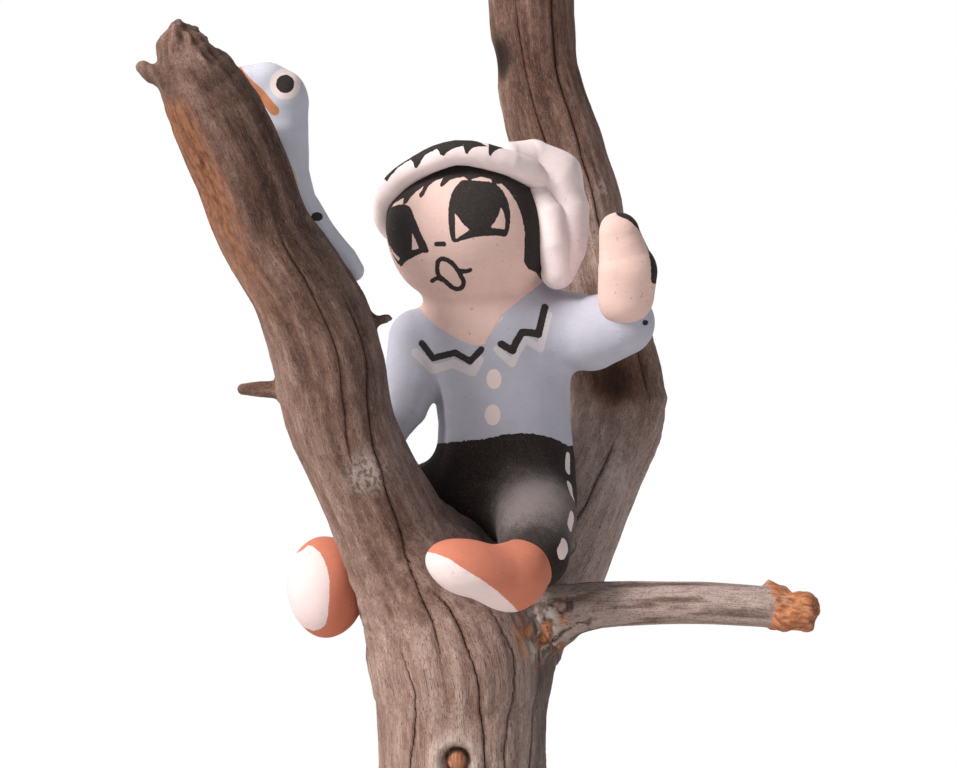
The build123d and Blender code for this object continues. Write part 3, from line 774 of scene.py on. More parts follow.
def branch_marks(p, nearest):
    """How near each point is to the knot, the hollows, the torn joint and the side branch's broken end."""
    past_break = (p[:, 0] - 63.6 - 1.5 * noise(p / 3, 9)) / 1.2
    return {
        "knot": np.linalg.norm(p - vec(*KNOT), axis=1),
        "rot": near(p, ROT_HOLLOW, 9.0),
        "hole": near(p, REAR_HOLLOW, 7.0),
        "joint": near(p, TORN_JOINT, 8.5),
        "side_end": np.clip(past_break, 0, 1) * (nearest == ON_SIDE_BRANCH),
    }


def grain_relief(grain, crack):
    """How far the grain stands out of the smooth wood, in millimetres; the cracks lie lower."""
    rise = 0.75 * layered_noise(grain * vec(0.085, 0.085, 0.034), 1, 3)
    rise += 0.34 * layered_noise(grain * vec(0.42, 0.42, 0.035), 4, 2)
    rise += 0.20 * noise(grain * vec(1.0, 1.0, 0.07), 8)
    rise -= 0.45 * np.exp(-np.sqrt(np.abs(crack)) * 0.7)
    return rise


def make_branch():
    low = (-68, -66, SLAB_HIGH[2] - 1)
    high = (76, 58, CAD_BOX[1][2] / MM)
    p, quads = form(branch, low, high, 0.52)
    outward = normals(p, quads)
    limbs = {limb: limb.coordinates(p) for limb in (TRUNK, REAR_LIMB, SIDE_BRANCH, TWIG)}
    nearest = np.stack([limbs[limb][0] for limb in limbs]).argmin(axis=0)
    _, along, u, v, bearing = (np.choose(nearest, [limbs[limb][k] for limb in limbs]) for k in range(5))
    grain = np.stack([u + 37 * nearest, v, along], axis=1).astype(np.float32)
    crack = crack_ratio(limbs)
    marks = branch_marks(p, nearest)

    rise = grain_relief(grain, crack)
    rise *= np.clip(np.hypot(u, v) / 9, 0.12, 1)
    knot = marks["knot"]
    rise += 1.0 * np.exp(-(((knot - 4.4) / 1.8) ** 2)) - 1.9 * np.exp(-(((knot - 2.75) / 0.6) ** 2))
    rise -= 2.2 * marks["rot"] ** 1.5 + 1.8 * marks["hole"]
    tip = np.clip((p[:, 2] - 200) / 14, 0, 1) * (nearest == ON_TRUNK)
    rise += tip * 0.9 * noise(grain * vec(0.8, 0.8, 0.12), 21)
    rise += marks["side_end"] * (0.3 + 1.1 * layered_noise(p * vec(0.30, 0.34, 0.34), 22, 2))
    rise += marks["joint"] * 1.1 * noise(p * vec(0.9, 0.5, 0.35), 23)
    foot = np.clip((p[:, 2] - SLAB_HIGH[2]) / 2, 0, 1)
    p = p + outward * (rise * foot)[:, None].astype(np.float32)

    attributes = {"grain": grain, "crack": crack}
    attributes.update(branch_paint(p, marks, nearest, grain, bearing, rise))
    piece = build("branch_wood", p, quads, weathered_wood(), attributes)
    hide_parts("trunk", "front_limb", "rear_limb", "side_branch")


def branch_paint(p, marks, nearest, grain, bearing, rise):
    """Tone, greyness, bare and pale patches and dark hollows, some of it painted shade, at each point of the
    raised surface.
    """
    height = p[:, 2]
    knot = marks["knot"]
    right_side = np.cos(np.radians(bearing))
    tone = np.choose(nearest, (
        np.interp(height, (20, 60, 95, 130, 160, 195, 210), (0.74, 0.76, 0.72, 0.64, 0.40, 0.24, 0.42)),
        np.interp(height, (90, 120, 136, 150, 175, 200, 245), (1.00, 1.08, 0.88, 0.36, 0.78, 0.46, 0.20)),
        1.02,
        0.30,
    ))
    # Painted shade and light: darker where the surface lies lower, in cracks, the knot's ring and the
    # hollows, lighter on raised grain.
    tone += 0.35 * np.clip(rise, -1, 0.6)
    # Painted shade: the trunk is darker on its right side, away from the key light.
    tone -= 0.28 * np.clip(right_side * 1.6 - 0.4, 0, 1) * (nearest == ON_TRUNK)
    streaks = layered_noise(grain * vec(0.5, 0.5, 0.06), 60, 3)
    tone -= np.clip(1.5 * streaks, -0.1, 0.75) * (nearest == ON_SIDE_BRANCH)

    # The trunk is greyer on its right side, most low down, as painted shade; the rear limb and side branch
    # have their own grey all round.
    grey = np.choose(nearest, (
        np.clip(right_side, 0, 1) * np.interp(height, (60, 150, 200), (1, 0.7, 0.3)),
        0.55 * np.interp(height, (120, 180, 220), (1, 0.45, 0.0)),
        0.6,
        0.0,
    ))

    left_edge = np.clip(np.cos(np.radians(bearing + 165)) * 2.6 - 1.2, 0, 1)
    strip = left_edge * np.interp(height, (158, 180, 199, 204), (0, 1, 1, 0)) * (nearest == ON_TRUNK)
    torn = noise(p * vec(0.55, 0.4, 0.22), 24)
    scar = np.clip(marks["joint"] * 2.2, 0, 1)
    bare = np.maximum(0.8 * strip, 1.8 * marks["side_end"])
    bare = np.maximum(bare, 0.85 * (knot < 2.3))
    bare = np.maximum(bare, scar * np.clip(torn * 4, 0, 1))
    bare = np.maximum(bare, 0.5 * marks["rot"])

    pale = scar * np.clip(-torn * 4, 0, 0.9)
    pale = np.maximum(pale, 0.55 * np.exp(-(((knot - 4.6) / 1.3) ** 2)))
    for spot, reach, strength in PALE_SPOTS:
        pale = np.maximum(pale, near(p, spot, reach) * strength)

    # Painted shade: dark in the rot hollow and the rear hole, over the rot's own dark brown, and in the
    # knot's sunken ring, heaviest at its top as a painted shadow of the rim.
    dark = np.maximum(np.clip(marks["rot"] * 1.5 - 0.2, 0, 0.85), np.clip(marks["hole"] * 1.8 - 0.2, 0, 1))
    dark = np.maximum(dark, 0.45 * strip)
    shadow = np.clip(0.55 + 0.3 * (height - KNOT[2]) + noise(p, 41), 0.2, 1)
    dark = np.maximum(dark, shadow * np.exp(-(((knot - 2.75) / 0.42) ** 2)))
    seam = np.exp(-((noise(p * vec(0.5, 0.5, 0.16), 25) / 0.07) ** 2))
    dark = np.maximum(dark, 0.9 * seam * np.clip(near(p, (21.0, -10.0, 95.0), 10.0) * 2, 0, 1))
    return {
        "tone": tone,
        "grey": np.clip(grey, 0, 1),
        "bare": np.clip(bare, 0, 2),
        "pale": np.clip(pale, 0, 1),
        "dark": np.clip(dark, 0, 1),
    }


# ---------------------------------------------------------------- the boy

SKIN = srgb(224, 191, 181)
SHIRT = srgb(182, 181, 193)
TROUSERS = srgb(36, 28, 26)
PAINT_BLACK = srgb(46, 40, 39)
PAINT_CREAM = srgb(228, 210, 206)
COLLAR_GREY = srgb(205, 198, 201)
# Grey of the dust and of the painted highlight on the trousers' knee.
KNEE_DUST_AND_HIGHLIGHT = srgb(152, 140, 138)
KERCHIEF = srgb(238, 220, 218)
SHOE = srgb(199, 122, 98)
SOLE = srgb(226, 206, 203)

# Where each set of painted outlines has its origin, as seen from the front.
FACE = np.array([-0.4, 182.4])
CHEST = np.array([5.3, 147.4])
FOOT = np.array([5.3, 104.5])
FAR = 9.0  # millimetres; further than any paint edge reaches


def head_form(p):
    crown = ball(p, (-0.4, -1.5, 182.8), (17.2, 16.6, 15.0), lean=-8)
    jaw = ball(p, (0.2, -4.8, 177.0), (14.8, 13.2, 12.2), lean=-12)
    side_hair = ball(p, (9.6, -1.0, 176.4), (8.7, 11.4, 8.8), lean=10)
    return join(6.0, crown, jaw, side_hair)


def body_form(p):
    torso = roll(p, (8.6, 6.5, 130, 15.2), (8.4, 5.5, 138.5, 14.6), (7.9, 4.5, 147, 15.3),
                 (7.2, 3.5, 154.5, 15.4), squash=(1, 1.12, 1))
    neck = roll(p, (2.4, 0.2, 171, 11.6), (3.8, 1.6, 161, 13.2))
    chest = join(6.0, torso, neck)
    chest = smooth_union(chest, head_form(p), 2.2)
    raised = roll(p, (18.6, 2, 158.8, 8.4), (27.3, -4.0, 157.5, 8.1), (34.2, -9.0, 159.8, 6.9))
    resting = roll(p, (-10.6, 2, 156.6, 6.4), (-11.9, 1.5, 147.2, 6.3), (-13.4, 0.5, 141.6, 5.2),
                   (-15.8, -1.5, 137.0, 3.9), (-17.6, -3.6, 133.4, 3.6))
    chest = smooth_union(chest, raised, 5.0)
    chest = smooth_union(chest, resting, 2.2)
    return smooth_union(chest, legs_form(p), 3.0)


def legs_form(p):
    hips = ball(p, (7.9, 6.5, 122.5), (16.3, 14.2, 14.6))
    left = roll(p, (13.2, 4, 121.0, 10.4), (15.0, -10, 117.4, 9.0), (14.8, -23, 110.6, 7.0))
    right = roll(p, (1.5, 8, 121, 10.5), (-11.5, 11.5, 118.5, 9.4), (-25.0, 11.0, 103.5, 6.0))
    return join(4.5, hips, left, right)


NECKLINE = ((-15.5, 15.7), (-13.3, 13.1), (-9.9, 10.9), (-5.9, 8.8), (-3.8, 8.0), (-1.4, 7.9), (0.5, 10.9),
            (2.9, 14.8), (5.8, 17.1), (9.3, 19.9), (11.9, 22.0))
WAISTLINE = ((-12.6, -14.3), (-5.9, -13.5), (-1.1, -13.2), (2.9, -12.3), (6.3, -11.9), (9.5, -12.0),
             (13.5, -12.9), (17.3, -14.8))


NECK_BACK, WAIST_BACK = 164, 133


def above(p, line, back_height):
    """How far points are above a line painted round the body; behind, it runs level at the back height."""
    seen = front_view(p) - CHEST
    height = np.interp(seen[:, 0], [x for x, _ in line], [z for _, z in line])
    front = seen[:, 1] - height
    behind = p[:, 2] - back_height
    share = np.clip((p[:, 1] - 1) / 6, 0, 1)
    return front * (1 - share) + behind * share


def head_piece(p):
    """Head and neck, running on a little under the shirt."""
    line = above(p, NECKLINE, NECK_BACK) * 0.8
    return np.maximum(body_form(p) + 0.3 * np.clip(-line, 0, 1), -line - 1.6)


def shirt_piece(p):
    """The shirt; the raised sleeve is left out of the neckline's cut."""
    below_neck = np.where(p[:, 0] < 19, above(p, NECKLINE, NECK_BACK) * 0.8, -FAR)
    above_waist = -above(p, WAISTLINE, WAIST_BACK) * 0.9
    return np.maximum(np.maximum(body_form(p), below_neck), above_waist).astype(np.float32)


def trouser_piece(p):
    """Trousers, running on a little under the shirt."""
    line = above(p, WAISTLINE, WAIST_BACK) * 0.9
    return np.maximum(body_form(p) + 0.3 * np.clip(line, 0, 1), line - 1.6)


def hand_piece(p):
    """The raised hand: a mitten with one straight edge."""
    palm = roll(p, (34.0, -14.2, 165.8, 6.6), (34.4, -15.2, 170.5, 6.8), (32.7, -16.2, 178.5, 4.5),
                squash=(1, 1.3, 1))
    return -smooth_union(-palm, p[:, 0] - 27.8, 2.5)


HAIR = ((-40, -1), (-17.9, -1.0), (-17.4, 1.5), (-16.3, 2.6), (-15.2, 4.0), (-13.2, 5.1), (-13.5, 3.8),
        (-12.6, 3.8), (-12.0, 4.9), (-10.7, 6.3), (-8.9, 7.6), (-9.2, 6.8), (-9.9, 5.8), (-9.8, 5.2),
        (-9.4, 5.0), (-8.8, 5.8), (-7.7, 7.8), (-6.2, 8.9), (-4.6, 9.4), (-5.3, 8.1), (-5.1, 7.4),
        (-4.6, 7.6), (-3.2, 8.9), (-1.9, 9.4), (0.0, 9.7), (1.1, 8.8), (2.4, 9.4), (3.9, 9.7), (5.9, 9.2),
        (6.4, 8.1), (8.3, 8.2), (10.0, 6.5), (11.6, 4.0), (12.7, 1.2), (13.4, -2.5), (13.3, -6.3),
        (13.2, -9.1), (14.1, -10.5), (15.9, -11.4), (16.8, -12.8), (18.3, -13.2), (40, -13.2), (40, 40),
        (-40, 40))
NEAR_EYE = ((-2.2, -4.8), (-3.0, -3.3), (-3.4, -0.3), (-3.4, 2.8), (-2.8, 5.8), (-1.6, 7.8), (-0.4, 8.9),
            (1.4, 8.9), (3.1, 8.8), (5.4, 8.6), (7.7, 7.6), (9.0, 5.8), (9.8, 3.8), (10.2, 1.2), (10.0, -1.3),
            (9.3, -3.4), (7.7, -3.3), (4.7, -3.3), (1.9, -3.7), (-0.4, -4.3))
NEAR_EYE_CORNERS = (
    ((-2.0, 1.7), (-1.9, -4.1), (-0.4, -3.1), (1.3, -2.0), (-0.1, -0.8), (-1.4, 1.0)),
    ((8.1, 3.0), (7.7, 1.5), (6.7, -0.3), (5.7, -1.5), (7.7, -1.7), (9.0, -1.9), (9.1, 0.2), (8.7, 2.0)),
)
FAR_EYE = ((-13.9, -10.1), (-15.5, -7.9), (-16.5, -5.3), (-17.2, -2.5), (-17.4, 0.2), (-16.8, 2.3),
           (-15.0, 3.4), (-13.3, 3.6), (-11.9, 3.1), (-11.2, 1.5), (-10.2, -1.0), (-9.0, -3.8),
           (-7.6, -6.8), (-9.0, -7.0), (-11.0, -7.9), (-13.0, -9.1))
FAR_EYE_CORNERS = (
    ((-11.5, -2.5), (-11.4, -4.3), (-11.5, -6.5), (-9.9, -6.1), (-10.7, -4.1)),
    ((-16.3, -5.5), (-15.4, -7.0), (-14.1, -8.2), (-14.4, -8.9), (-15.5, -7.6)),
)
NOSE = ((-6.1, -5.1), (-4.4, -5.1))
MOUTH = ((-5.8, -9.1), (-4.9, -8.3), (-3.2, -8.9), (-1.9, -10.1), (-0.8, -11.9), (-0.1, -13.4), (-0.5, -14.7),
         (-1.6, -15.0), (-2.9, -14.4), (-4.2, -13.2), (-5.6, -12.0), (-5.9, -10.6))
CHEEK_LINES = (((-0.9, -11.0), (0.4, -11.1), (1.4, -10.8)), ((-7.0, -13.2), (-5.8, -12.6), (-4.7, -13.0)))


NAPE = 172.0  # height down to which the back of the head is painted as hair


def face_paint(p):
    seen = front_view(p) - FACE
    front = p[:, 1] < 1.0
    black = patch(seen, HAIR)
    for eye, corners in ((NEAR_EYE, NEAR_EYE_CORNERS), (FAR_EYE, FAR_EYE_CORNERS)):
        drawn = patch(seen, curve(*eye, closed=True, steps=2))
        for corner in corners:
            drawn = np.maximum(drawn, -patch(seen, corner))
        black = np.minimum(black, drawn)
    black = np.minimum(black, stroke(seen, NOSE, 0.52))
    black = np.minimum(black, stroke(seen, curve(*MOUTH, MOUTH[0], steps=3), 0.5))
    for line in CHEEK_LINES:
        black = np.minimum(black, stroke(seen, curve(*line), 0.46))
    back_hair = NAPE - p[:, 2]
    return {"black": np.where(front, black, back_hair)}


COLLAR_FAR = ((-15.0, 8.1), (-12.5, 4.8), (-7.7, 6.0), (-4.3, 4.1), (-1.9, 6.7))
COLLAR_FAR_LIGHT = ((-16.3, 6.0), (-12.6, 2.3), (-8.1, 3.6), (-3.8, 1.7), (-2.3, 4.4))
COLLAR_NEAR = ((2.5, 7.9), (5.0, 6.4), (5.8, 8.4), (7.1, 10.5), (9.0, 10.4), (10.7, 10.0), (11.4, 13.2),
               (12.1, 16.0))
COLLAR_NEAR_LIGHT = ((1.5, 6.7), (4.9, 3.6), (5.9, 6.0), (7.9, 8.9), (11.1, 6.8), (11.9, 10.5), (12.9, 14.3))
BUTTONS = ((0.9, 0.2, 1.65, 2.2), (0.6, -7.7, 1.75, 2.3))
SEAM_DASHES = (
    # painted line on the trousers' outer seam, and its half width
    (((22.1, 1.2, 130.6), (22.5, -1.2, 127.6)), 1.0),
    (((22.6, -4.2, 124.4), (22.9, -9.5, 121.8)), 1.1),
    (((22.6, -15.2, 118.2), (22.2, -18.8, 116.3)), 1.2),
    (((20.9, -25.4, 112.8), (20.0, -27.2, 111.4)), 1.6),
)


def shirt_paint(p):
    seen = front_view(p) - CHEST
    hidden = np.where(p[:, 1] > 6, FAR, -FAR)
    black = np.minimum(stroke(seen, COLLAR_FAR, 0.72), stroke(seen, COLLAR_NEAR, 0.8))
    collar = np.minimum(stroke(seen, COLLAR_FAR_LIGHT, 0.95), stroke(seen, COLLAR_NEAR_LIGHT, 0.8))
    light = np.full(len(p), FAR)
    for x, z, half_width, half_height in BUTTONS:
        q = (seen - (x, z)) / (half_width, half_height)
        light = np.minimum(light, (np.linalg.norm(q, axis=1) - 1) * half_width)
    mark = np.linalg.norm(seen - (34.2, 12.6), axis=1) - 0.65
    return {"black": np.maximum(np.minimum(black, mark), hidden), "cream": np.maximum(light, hidden),
            "collar": np.maximum(collar, hidden)}


def trouser_paint(p):
    light = np.full(len(p), FAR)
    for dash, half_width in SEAM_DASHES:
        light = np.minimum(light, stroke(p, dash, half_width))
    # The knee is painted grey: dust, and a painted highlight where the key light falls on the knee.
    knee_dust_and_highlight = 1 - np.minimum(near(p, (14.5, -16.0, 120.0), 18.0) * 1.15, 1)
    return {"cream": light, "dust_and_highlight": knee_dust_and_highlight}


def unpainted(p):
    return {"black": np.full(len(p), FAR)}


def uneven(field, size=9.0, depth=0.35, seed=30):
    """The same field as fingers leave it: slightly lumpy."""
    return lambda p: field(p) + np.float32(depth) * noise(p / np.float32(size), seed)


SHARP_EDGE = 50  # degrees


def clay_piece(name, field, low, high, cell, material, replaced, paint):
    """Meshes a field between two corners, paints it and hides the CAD nodes it stands for."""
    p, quads = form(field, low, high, cell)
    piece = build(name, p, quads, material, paint(p), SHARP_EDGE)
    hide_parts(*replaced)
    return piece


def make_boy():
    skin = clay_paint("skin_paint", SKIN, (("black", PAINT_BLACK),))
    clay_piece("boy_head", uneven(head_piece), (-20, -24, 152), (20, 18, 203), 0.36, skin,
               ("head", "neck"), face_paint)
    shirt = clay_paint("shirt_paint", SHIRT,
                       (("collar", COLLAR_GREY), ("cream", PAINT_CREAM), ("black", PAINT_BLACK)), worn=0.2)
    clay_piece("boy_shirt", uneven(shirt_piece), (-21, -20, 130), (43, 20, 172), 0.42, shirt,
               ("torso", "sleeve_left", "sleeve_right"), shirt_paint)
    trousers = clay_paint("trouser_paint", TROUSERS, (("cream", PAINT_CREAM),), worn=0.12, dust_and_highlight=KNEE_DUST_AND_HIGHLIGHT)
    clay_piece("boy_trousers", uneven(trouser_piece), (-32, -32, 94), (28, 23, 138), 0.5, trousers,
               ("hips", "leg_left", "leg_right"), trouser_paint)
    clay_piece("boy_hand_left", uneven(hand_piece, 6.0, 0.25), (25, -24, 156), (43, -5, 186), 0.4, skin,
               ("hand_left",), hand_paint)
    resting_hand = uneven(lambda p: roll(p, (-17.4, -4.0, 133.0, 3.2), (-18.2, -5.2, 128.5, 3.6)), 5.0, 0.25)
    clay_piece("boy_hand_right", resting_hand, (-24, -12, 122), (-12, 3, 139), 0.4, skin,
               ("hand_right",), unpainted)


def hand_paint(p):
    seen = front_view(p) - CHEST
    edge = ((28.6, 36.9), (31.3, 35.6), (33.6, 33.2), (35.2, 30.0), (36.2, 26.0), (36.3, 22.0))
    return {"black": np.maximum(stroke(seen, curve(*edge), 0.85), p[:, 1] + 12.5)}


BAND = rounded([
    (9.5, -13.2, 193.8, 2.8), (4.0, -15.0, 195.2, 2.7), (-2.0, -15.2, 195.7, 2.7), (-8.0, -13.6, 194.1, 2.7),
    (-13.6, -9.6, 191.0, 2.7), (-17.2, -4.6, 187.4, 2.6), (-18.2, 1.0, 184.0, 2.5), (-16.6, 7.0, 181.0, 2.4),
    (-12.0, 11.8, 178.8, 2.3), (-5.0, 15.0, 177.6, 2.3), (3.0, 15.4, 177.8, 2.3), (10.4, 12.4, 179.6, 2.3),
    (15.4, 6.6, 182.6, 2.5), (17.0, -1.0, 187.2, 2.8), (15.2, -8.2, 191.4, 2.9), (9.5, -13.2, 193.8, 2.8),
], 2.5)
TEETH = (
    ((-21.5, 9.5), (-20.6, 7.3), (-19.6, 8.4), (-17.8, 9.7), (-17.4, 9.1), (-16.9, 8.6), (-16.4, 9.6),
     (-14.5, 11.7), (-11.8, 13.5), (-11.2, 12.9), (-10.9, 11.7), (-10.4, 11.5), (-10.0, 12.1), (-8.7, 14.4),
     (-5.9, 15.9),
     (-5.4, 15.1), (-5.2, 14.5), (-4.4, 14.3), (-3.8, 15.1), (-2.2, 16.0), (-0.3, 16.5), (-0.3, 19), (-8, 19),
     (-16, 16), (-23, 12)),
    ((-0.3, 17.9), (-0.1, 16.4), (0.3, 14.9), (0.6, 14.6), (1.0, 15.1), (1.9, 16.1), (3.4, 16.4), (5.2, 16.4),
     (3.0, 17.5), (0.6, 18.4)),
    ((5.4, 18.0), (5.5, 14.4), (5.8, 14.2), (6.4, 15.1), (7.6, 15.9), (9.0, 16.0), (10.5, 15.5), (8.6, 16.8),
     (7.0, 17.6)),
)


def band_paint(p):
    seen = front_view(p) - FACE
    black = np.full(len(p), FAR)
    for tooth in TEETH:
        black = np.minimum(black, patch(seen, tooth))
    return {"black": np.where(p[:, 1] < 2, black, FAR)}


def make_kerchief():
    cloth = clay_paint("kerchief_paint", KERCHIEF, (("black", PAINT_BLACK),), worn=0.22)
    stations = [tuple(float(c) for c in s) for s in BAND]
    band = uneven(lambda p: roll(p, *stations), 5.0, 0.3)
    clay_piece("kerchief_band", band, (-23, -20, 173), (21, 20, 201), 0.38, cloth,
               ("headband",), band_paint)

    def outer_roll(p):
        top = roll(p, (9.5, -8.5, 195.4, 3.6), (14.5, -4.5, 195.0, 4.8), (19.5, -3, 191.5, 5.6),
                   squash=(1, 0.9, 1))
        fall = roll(p, (19.3, -3, 191.5, 5.8), (21.9, -4, 184.5, 5.2), (21.6, -5.6, 176, 4.6),
                    (20.0, -6.6, 170.4, 3.6))
        return smooth_union(top, fall, 2.5)

    def inner_roll(p):
        return roll(p, (15.8, -8.0, 188.0, 2.2), (18.0, -8.6, 183.2, 3.3), (19.0, -8.8, 176.6, 3.6),
                    (19.8, -8.2, 170.6, 3.2))

    clay_piece("kerchief_outer_roll", uneven(outer_roll, 6.0, 0.35), (4, -15, 164), (28, 6, 201), 0.38, cloth,
               ("kerchief_knot",), unpainted)
    clay_piece("kerchief_inner_roll", uneven(inner_roll, 5.0, 0.25), (11, -16, 163), (27, -3, 190), 0.36,
               cloth, ("kerchief_tail",), unpainted)


LEFT_SOLE_EDGE = ((-16.0, 5.3), (-14.2, 5.1), (-12.1, 4.7), (-9.1, 3.6), (-5.7, 1.3), (-1.9, -1.0),
                  (1.9, -3.8), (5.0, -6.7), (7.0, -9.0))
RIGHT_SOLE = ((-37.2, -73.4), (-34.3, -71.4), (-32.4, -72.4), (-31.0, -74.2), (-29.6, -79.0), (-30.0, -87.0),
              (-31.0, -89.4), (-33.2, -90.2), (-35.4, -89.4), (-45, -88.0), (-45, -73.0))


def make_shoes():
    leather = clay_paint("shoe_paint", SHOE, (("cream", SOLE),), worn=0.25)

    def left(p):
        toe = ball(p, (0.9, -34.5, 108.6), (9.4, 6.4, 5.9), lean=17)
        heel = ball(p, (9.2, -30.5, 106.0), (7.0, 6.4, 6.6))
        ankle = roll(p, (11.4, -27.5, 107.6, 6.1), (14.2, -22, 109.6, 6.4))
        return join(4.0, toe, heel, ankle)

    def left_paint(p):
        seen = front_view(p) - FOOT
        height = np.interp(seen[:, 0], [x for x, _ in LEFT_SOLE_EDGE], [z for _, z in LEFT_SOLE_EDGE])
        return {"cream": np.maximum((seen[:, 1] - height) * 0.8, seen[:, 0] - 7.0)}

    def right(p):
        foot = ball(p, (-30.9, 1.0, 101.8), (8.6, 9.6, 11.1), lean=-4)
        return smooth_union(foot, roll(p, (-27, 6, 102.4, 7.0), (-24, 10, 103, 6.0)), 3.0)

    def right_paint(p):
        sole = patch(front_view(p) - FACE, curve(*RIGHT_SOLE, closed=True, steps=2))
        return {"cream": np.where(p[:, 1] < 3, sole, FAR)}

    for name, shape, low, high, paint in (
        ("shoe_left", left, (-13, -43, 96), (23, -13, 119), left_paint),
        ("shoe_right", right, (-41, -11, 89), (-16, 18, 115), right_paint),
    ):
        clay_piece(name, uneven(shape, 6.0, 0.3), low, high, 0.38, leather, (name,), paint)


# ---------------------------------------------------------------- the bird

BIRD_GREY = srgb(198, 199, 210)
BIRD_EYE = (-37.4, -28.5, 208.9)
BIRD_THROAT = ((-50.6, 216.0), (-48.4, 213.2), (-45.3, 210.4), (-42.1, 206.6))
BIRD_MARK = (-30.7, -30, 181.2)
BEAK_START = -47.0


def bird_form(p):
    head = roll(p, (-46.0, -30.0, 208.4, 3.6), (-41.0, -30.0, 208.4, 5.0), (-38.6, -29.4, 206.8, 5.3))
    body = roll(p, (-37.8, -29.6, 204, 5.3), (-37.5, -29.6, 197.5, 5.0), (-37.8, -29.4, 190.5, 5.3),
                (-36.0, -28.4, 184, 5.0), (-31.0, -26.4, 178.0, 4.0), (-25.7, -25.0, 172.8, 3.0),
                (-23.4, -24.6, 170.2, 2.3))
    beak = roll(p, (-45, -30.5, 208.6, 2.8), (-51.5, -30.8, 209.4, 0.9))
    wings = np.minimum(
        roll(p, (-37.4, -25.6, 198, 2.0), (-36.6, -24.8, 190, 3.0), (-32.6, -23.2, 181, 1.6)),
        roll(p, (-38.0, -33.4, 198, 2.0), (-37.2, -32.8, 190, 2.6), (-33.4, -30.8, 182, 1.4)),
    )
    bird = join(2.5, head, body, beak)
    return smooth_union(bird, wings, 1.4)


def bird_paint(p):
    seen = front_view(p)
    eye = front_view(vec(*BIRD_EYE)[None])[0]
    out = np.linalg.norm(seen - eye, axis=1)
    far_out = np.hypot(p[:, 0] - BIRD_EYE[0], p[:, 2] - BIRD_EYE[2])
    out = np.where(p[:, 1] < -29, out, far_out)
    mark = front_view(vec(*BIRD_MARK)[None])[0]
    black = np.minimum(out - 2.0, np.linalg.norm((seen - mark) / (1.3, 1.0), axis=1) - 1.0)
    throat = stroke(seen, BIRD_THROAT, 1.05)
    beak = p[:, 0] - BEAK_START
    return {"black": black, "cream": out - 3.4, "orange": np.minimum(throat, beak)}


def make_bird():
    layers = (("orange", srgb(190, 124, 88)), ("cream", PAINT_CREAM), ("black", PAINT_BLACK))
    paint = clay_paint("bird_paint", BIRD_GREY, layers, worn=0.2)
    nodes = ("bird_body", "bird_head", "bird_beak", "bird_tail", "bird_wing_left", "bird_wing_right")
    clay_piece("bird", uneven(bird_form, 5.0, 0.25), (-54, -38, 166), (-19, -18, 217), 0.38, paint,
               nodes, bird_paint)


# ---------------------------------------------------------------- the base

SLAB_ROUND = 1.2
RECESS_RADIUS = 6.9
PITH = (9, 6)
# Bearing from the pith in degrees, then how far out each crack starts and ends.
DRYING_CHECKS = ((-62, 18, 60), (38, 24, 50), (165, 22, 70), (-128, 26, 48))


def make_base():
    centre = (SLAB_LOW + SLAB_HIGH) / 2
    half = (SLAB_HIGH - SLAB_LOW) / 2
    washer_top = cad_box("base_washer")[1][2]

    def outline(p):
        """Distance outside the slice's wavy rim."""
        q = p[:, :2] - centre[:2]
        turn = np.arctan2(q[:, 1] / half[1], q[:, 0] / half[0])
        wave = 0.975 + 0.010 * np.sin(3 * turn + 0.6) + 0.008 * np.sin(5 * turn + 2.0)
        reach = np.hypot(q[:, 0] / half[0], q[:, 1] / half[1])
        return (reach - wave) * half[1]

    def slab(p):
        rim = outline(p)
        bark = 0.8 * layered_noise(p * vec(0.28, 0.28, 0.10), 50, 3) * np.clip(1 + rim / 3, 0, 1)
        faces = np.abs(p[:, 2] - centre[2]) - half[2] + 0.05
        side = rim + bark
        arc = np.hypot(np.maximum(side + SLAB_ROUND, 0), np.maximum(faces + SLAB_ROUND, 0)) - SLAB_ROUND
        at_corner = np.minimum(side, faces) > -SLAB_ROUND
        block = np.where(at_corner, arc, np.maximum(side, faces))
        recess = np.maximum(np.hypot(p[:, 0], p[:, 1]) - RECESS_RADIUS, p[:, 2] - washer_top)
        return np.maximum(block, -recess).astype(np.float32)

    p, quads = form(slab, SLAB_LOW - 1, SLAB_HIGH + 1, 1.0)
    turn = np.degrees(np.arctan2(p[:, 1] - PITH[1], p[:, 0] - PITH[0]))
    out = np.hypot(p[:, 0] - PITH[0], p[:, 1] - PITH[1])
    check = np.full(len(p), FAR)
    for bearing, start, end in DRYING_CHECKS:
        wander = 2.0 * noise(np.stack([out / 9, out * 0, out * 0], axis=1).astype(np.float32), bearing)
        gap = np.abs(np.radians((turn - bearing - wander + 180) % 360 - 180)) * out
        width = np.clip(np.minimum(out - start, end - out) / 12, 0, 1)
        check = np.minimum(check, np.where(width > 0, gap - 0.5 * width, FAR))
    p[:, 2] -= 1.2 * np.exp(-((np.maximum(check, 0) / 0.7) ** 2)) * (p[:, 2] > SLAB_HIGH[2] - 1)
    piece = build("base_slice", p, quads, slab_wood(), {"rim": outline(p), "check": check}, SHARP_EDGE)
    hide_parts("base_slab")


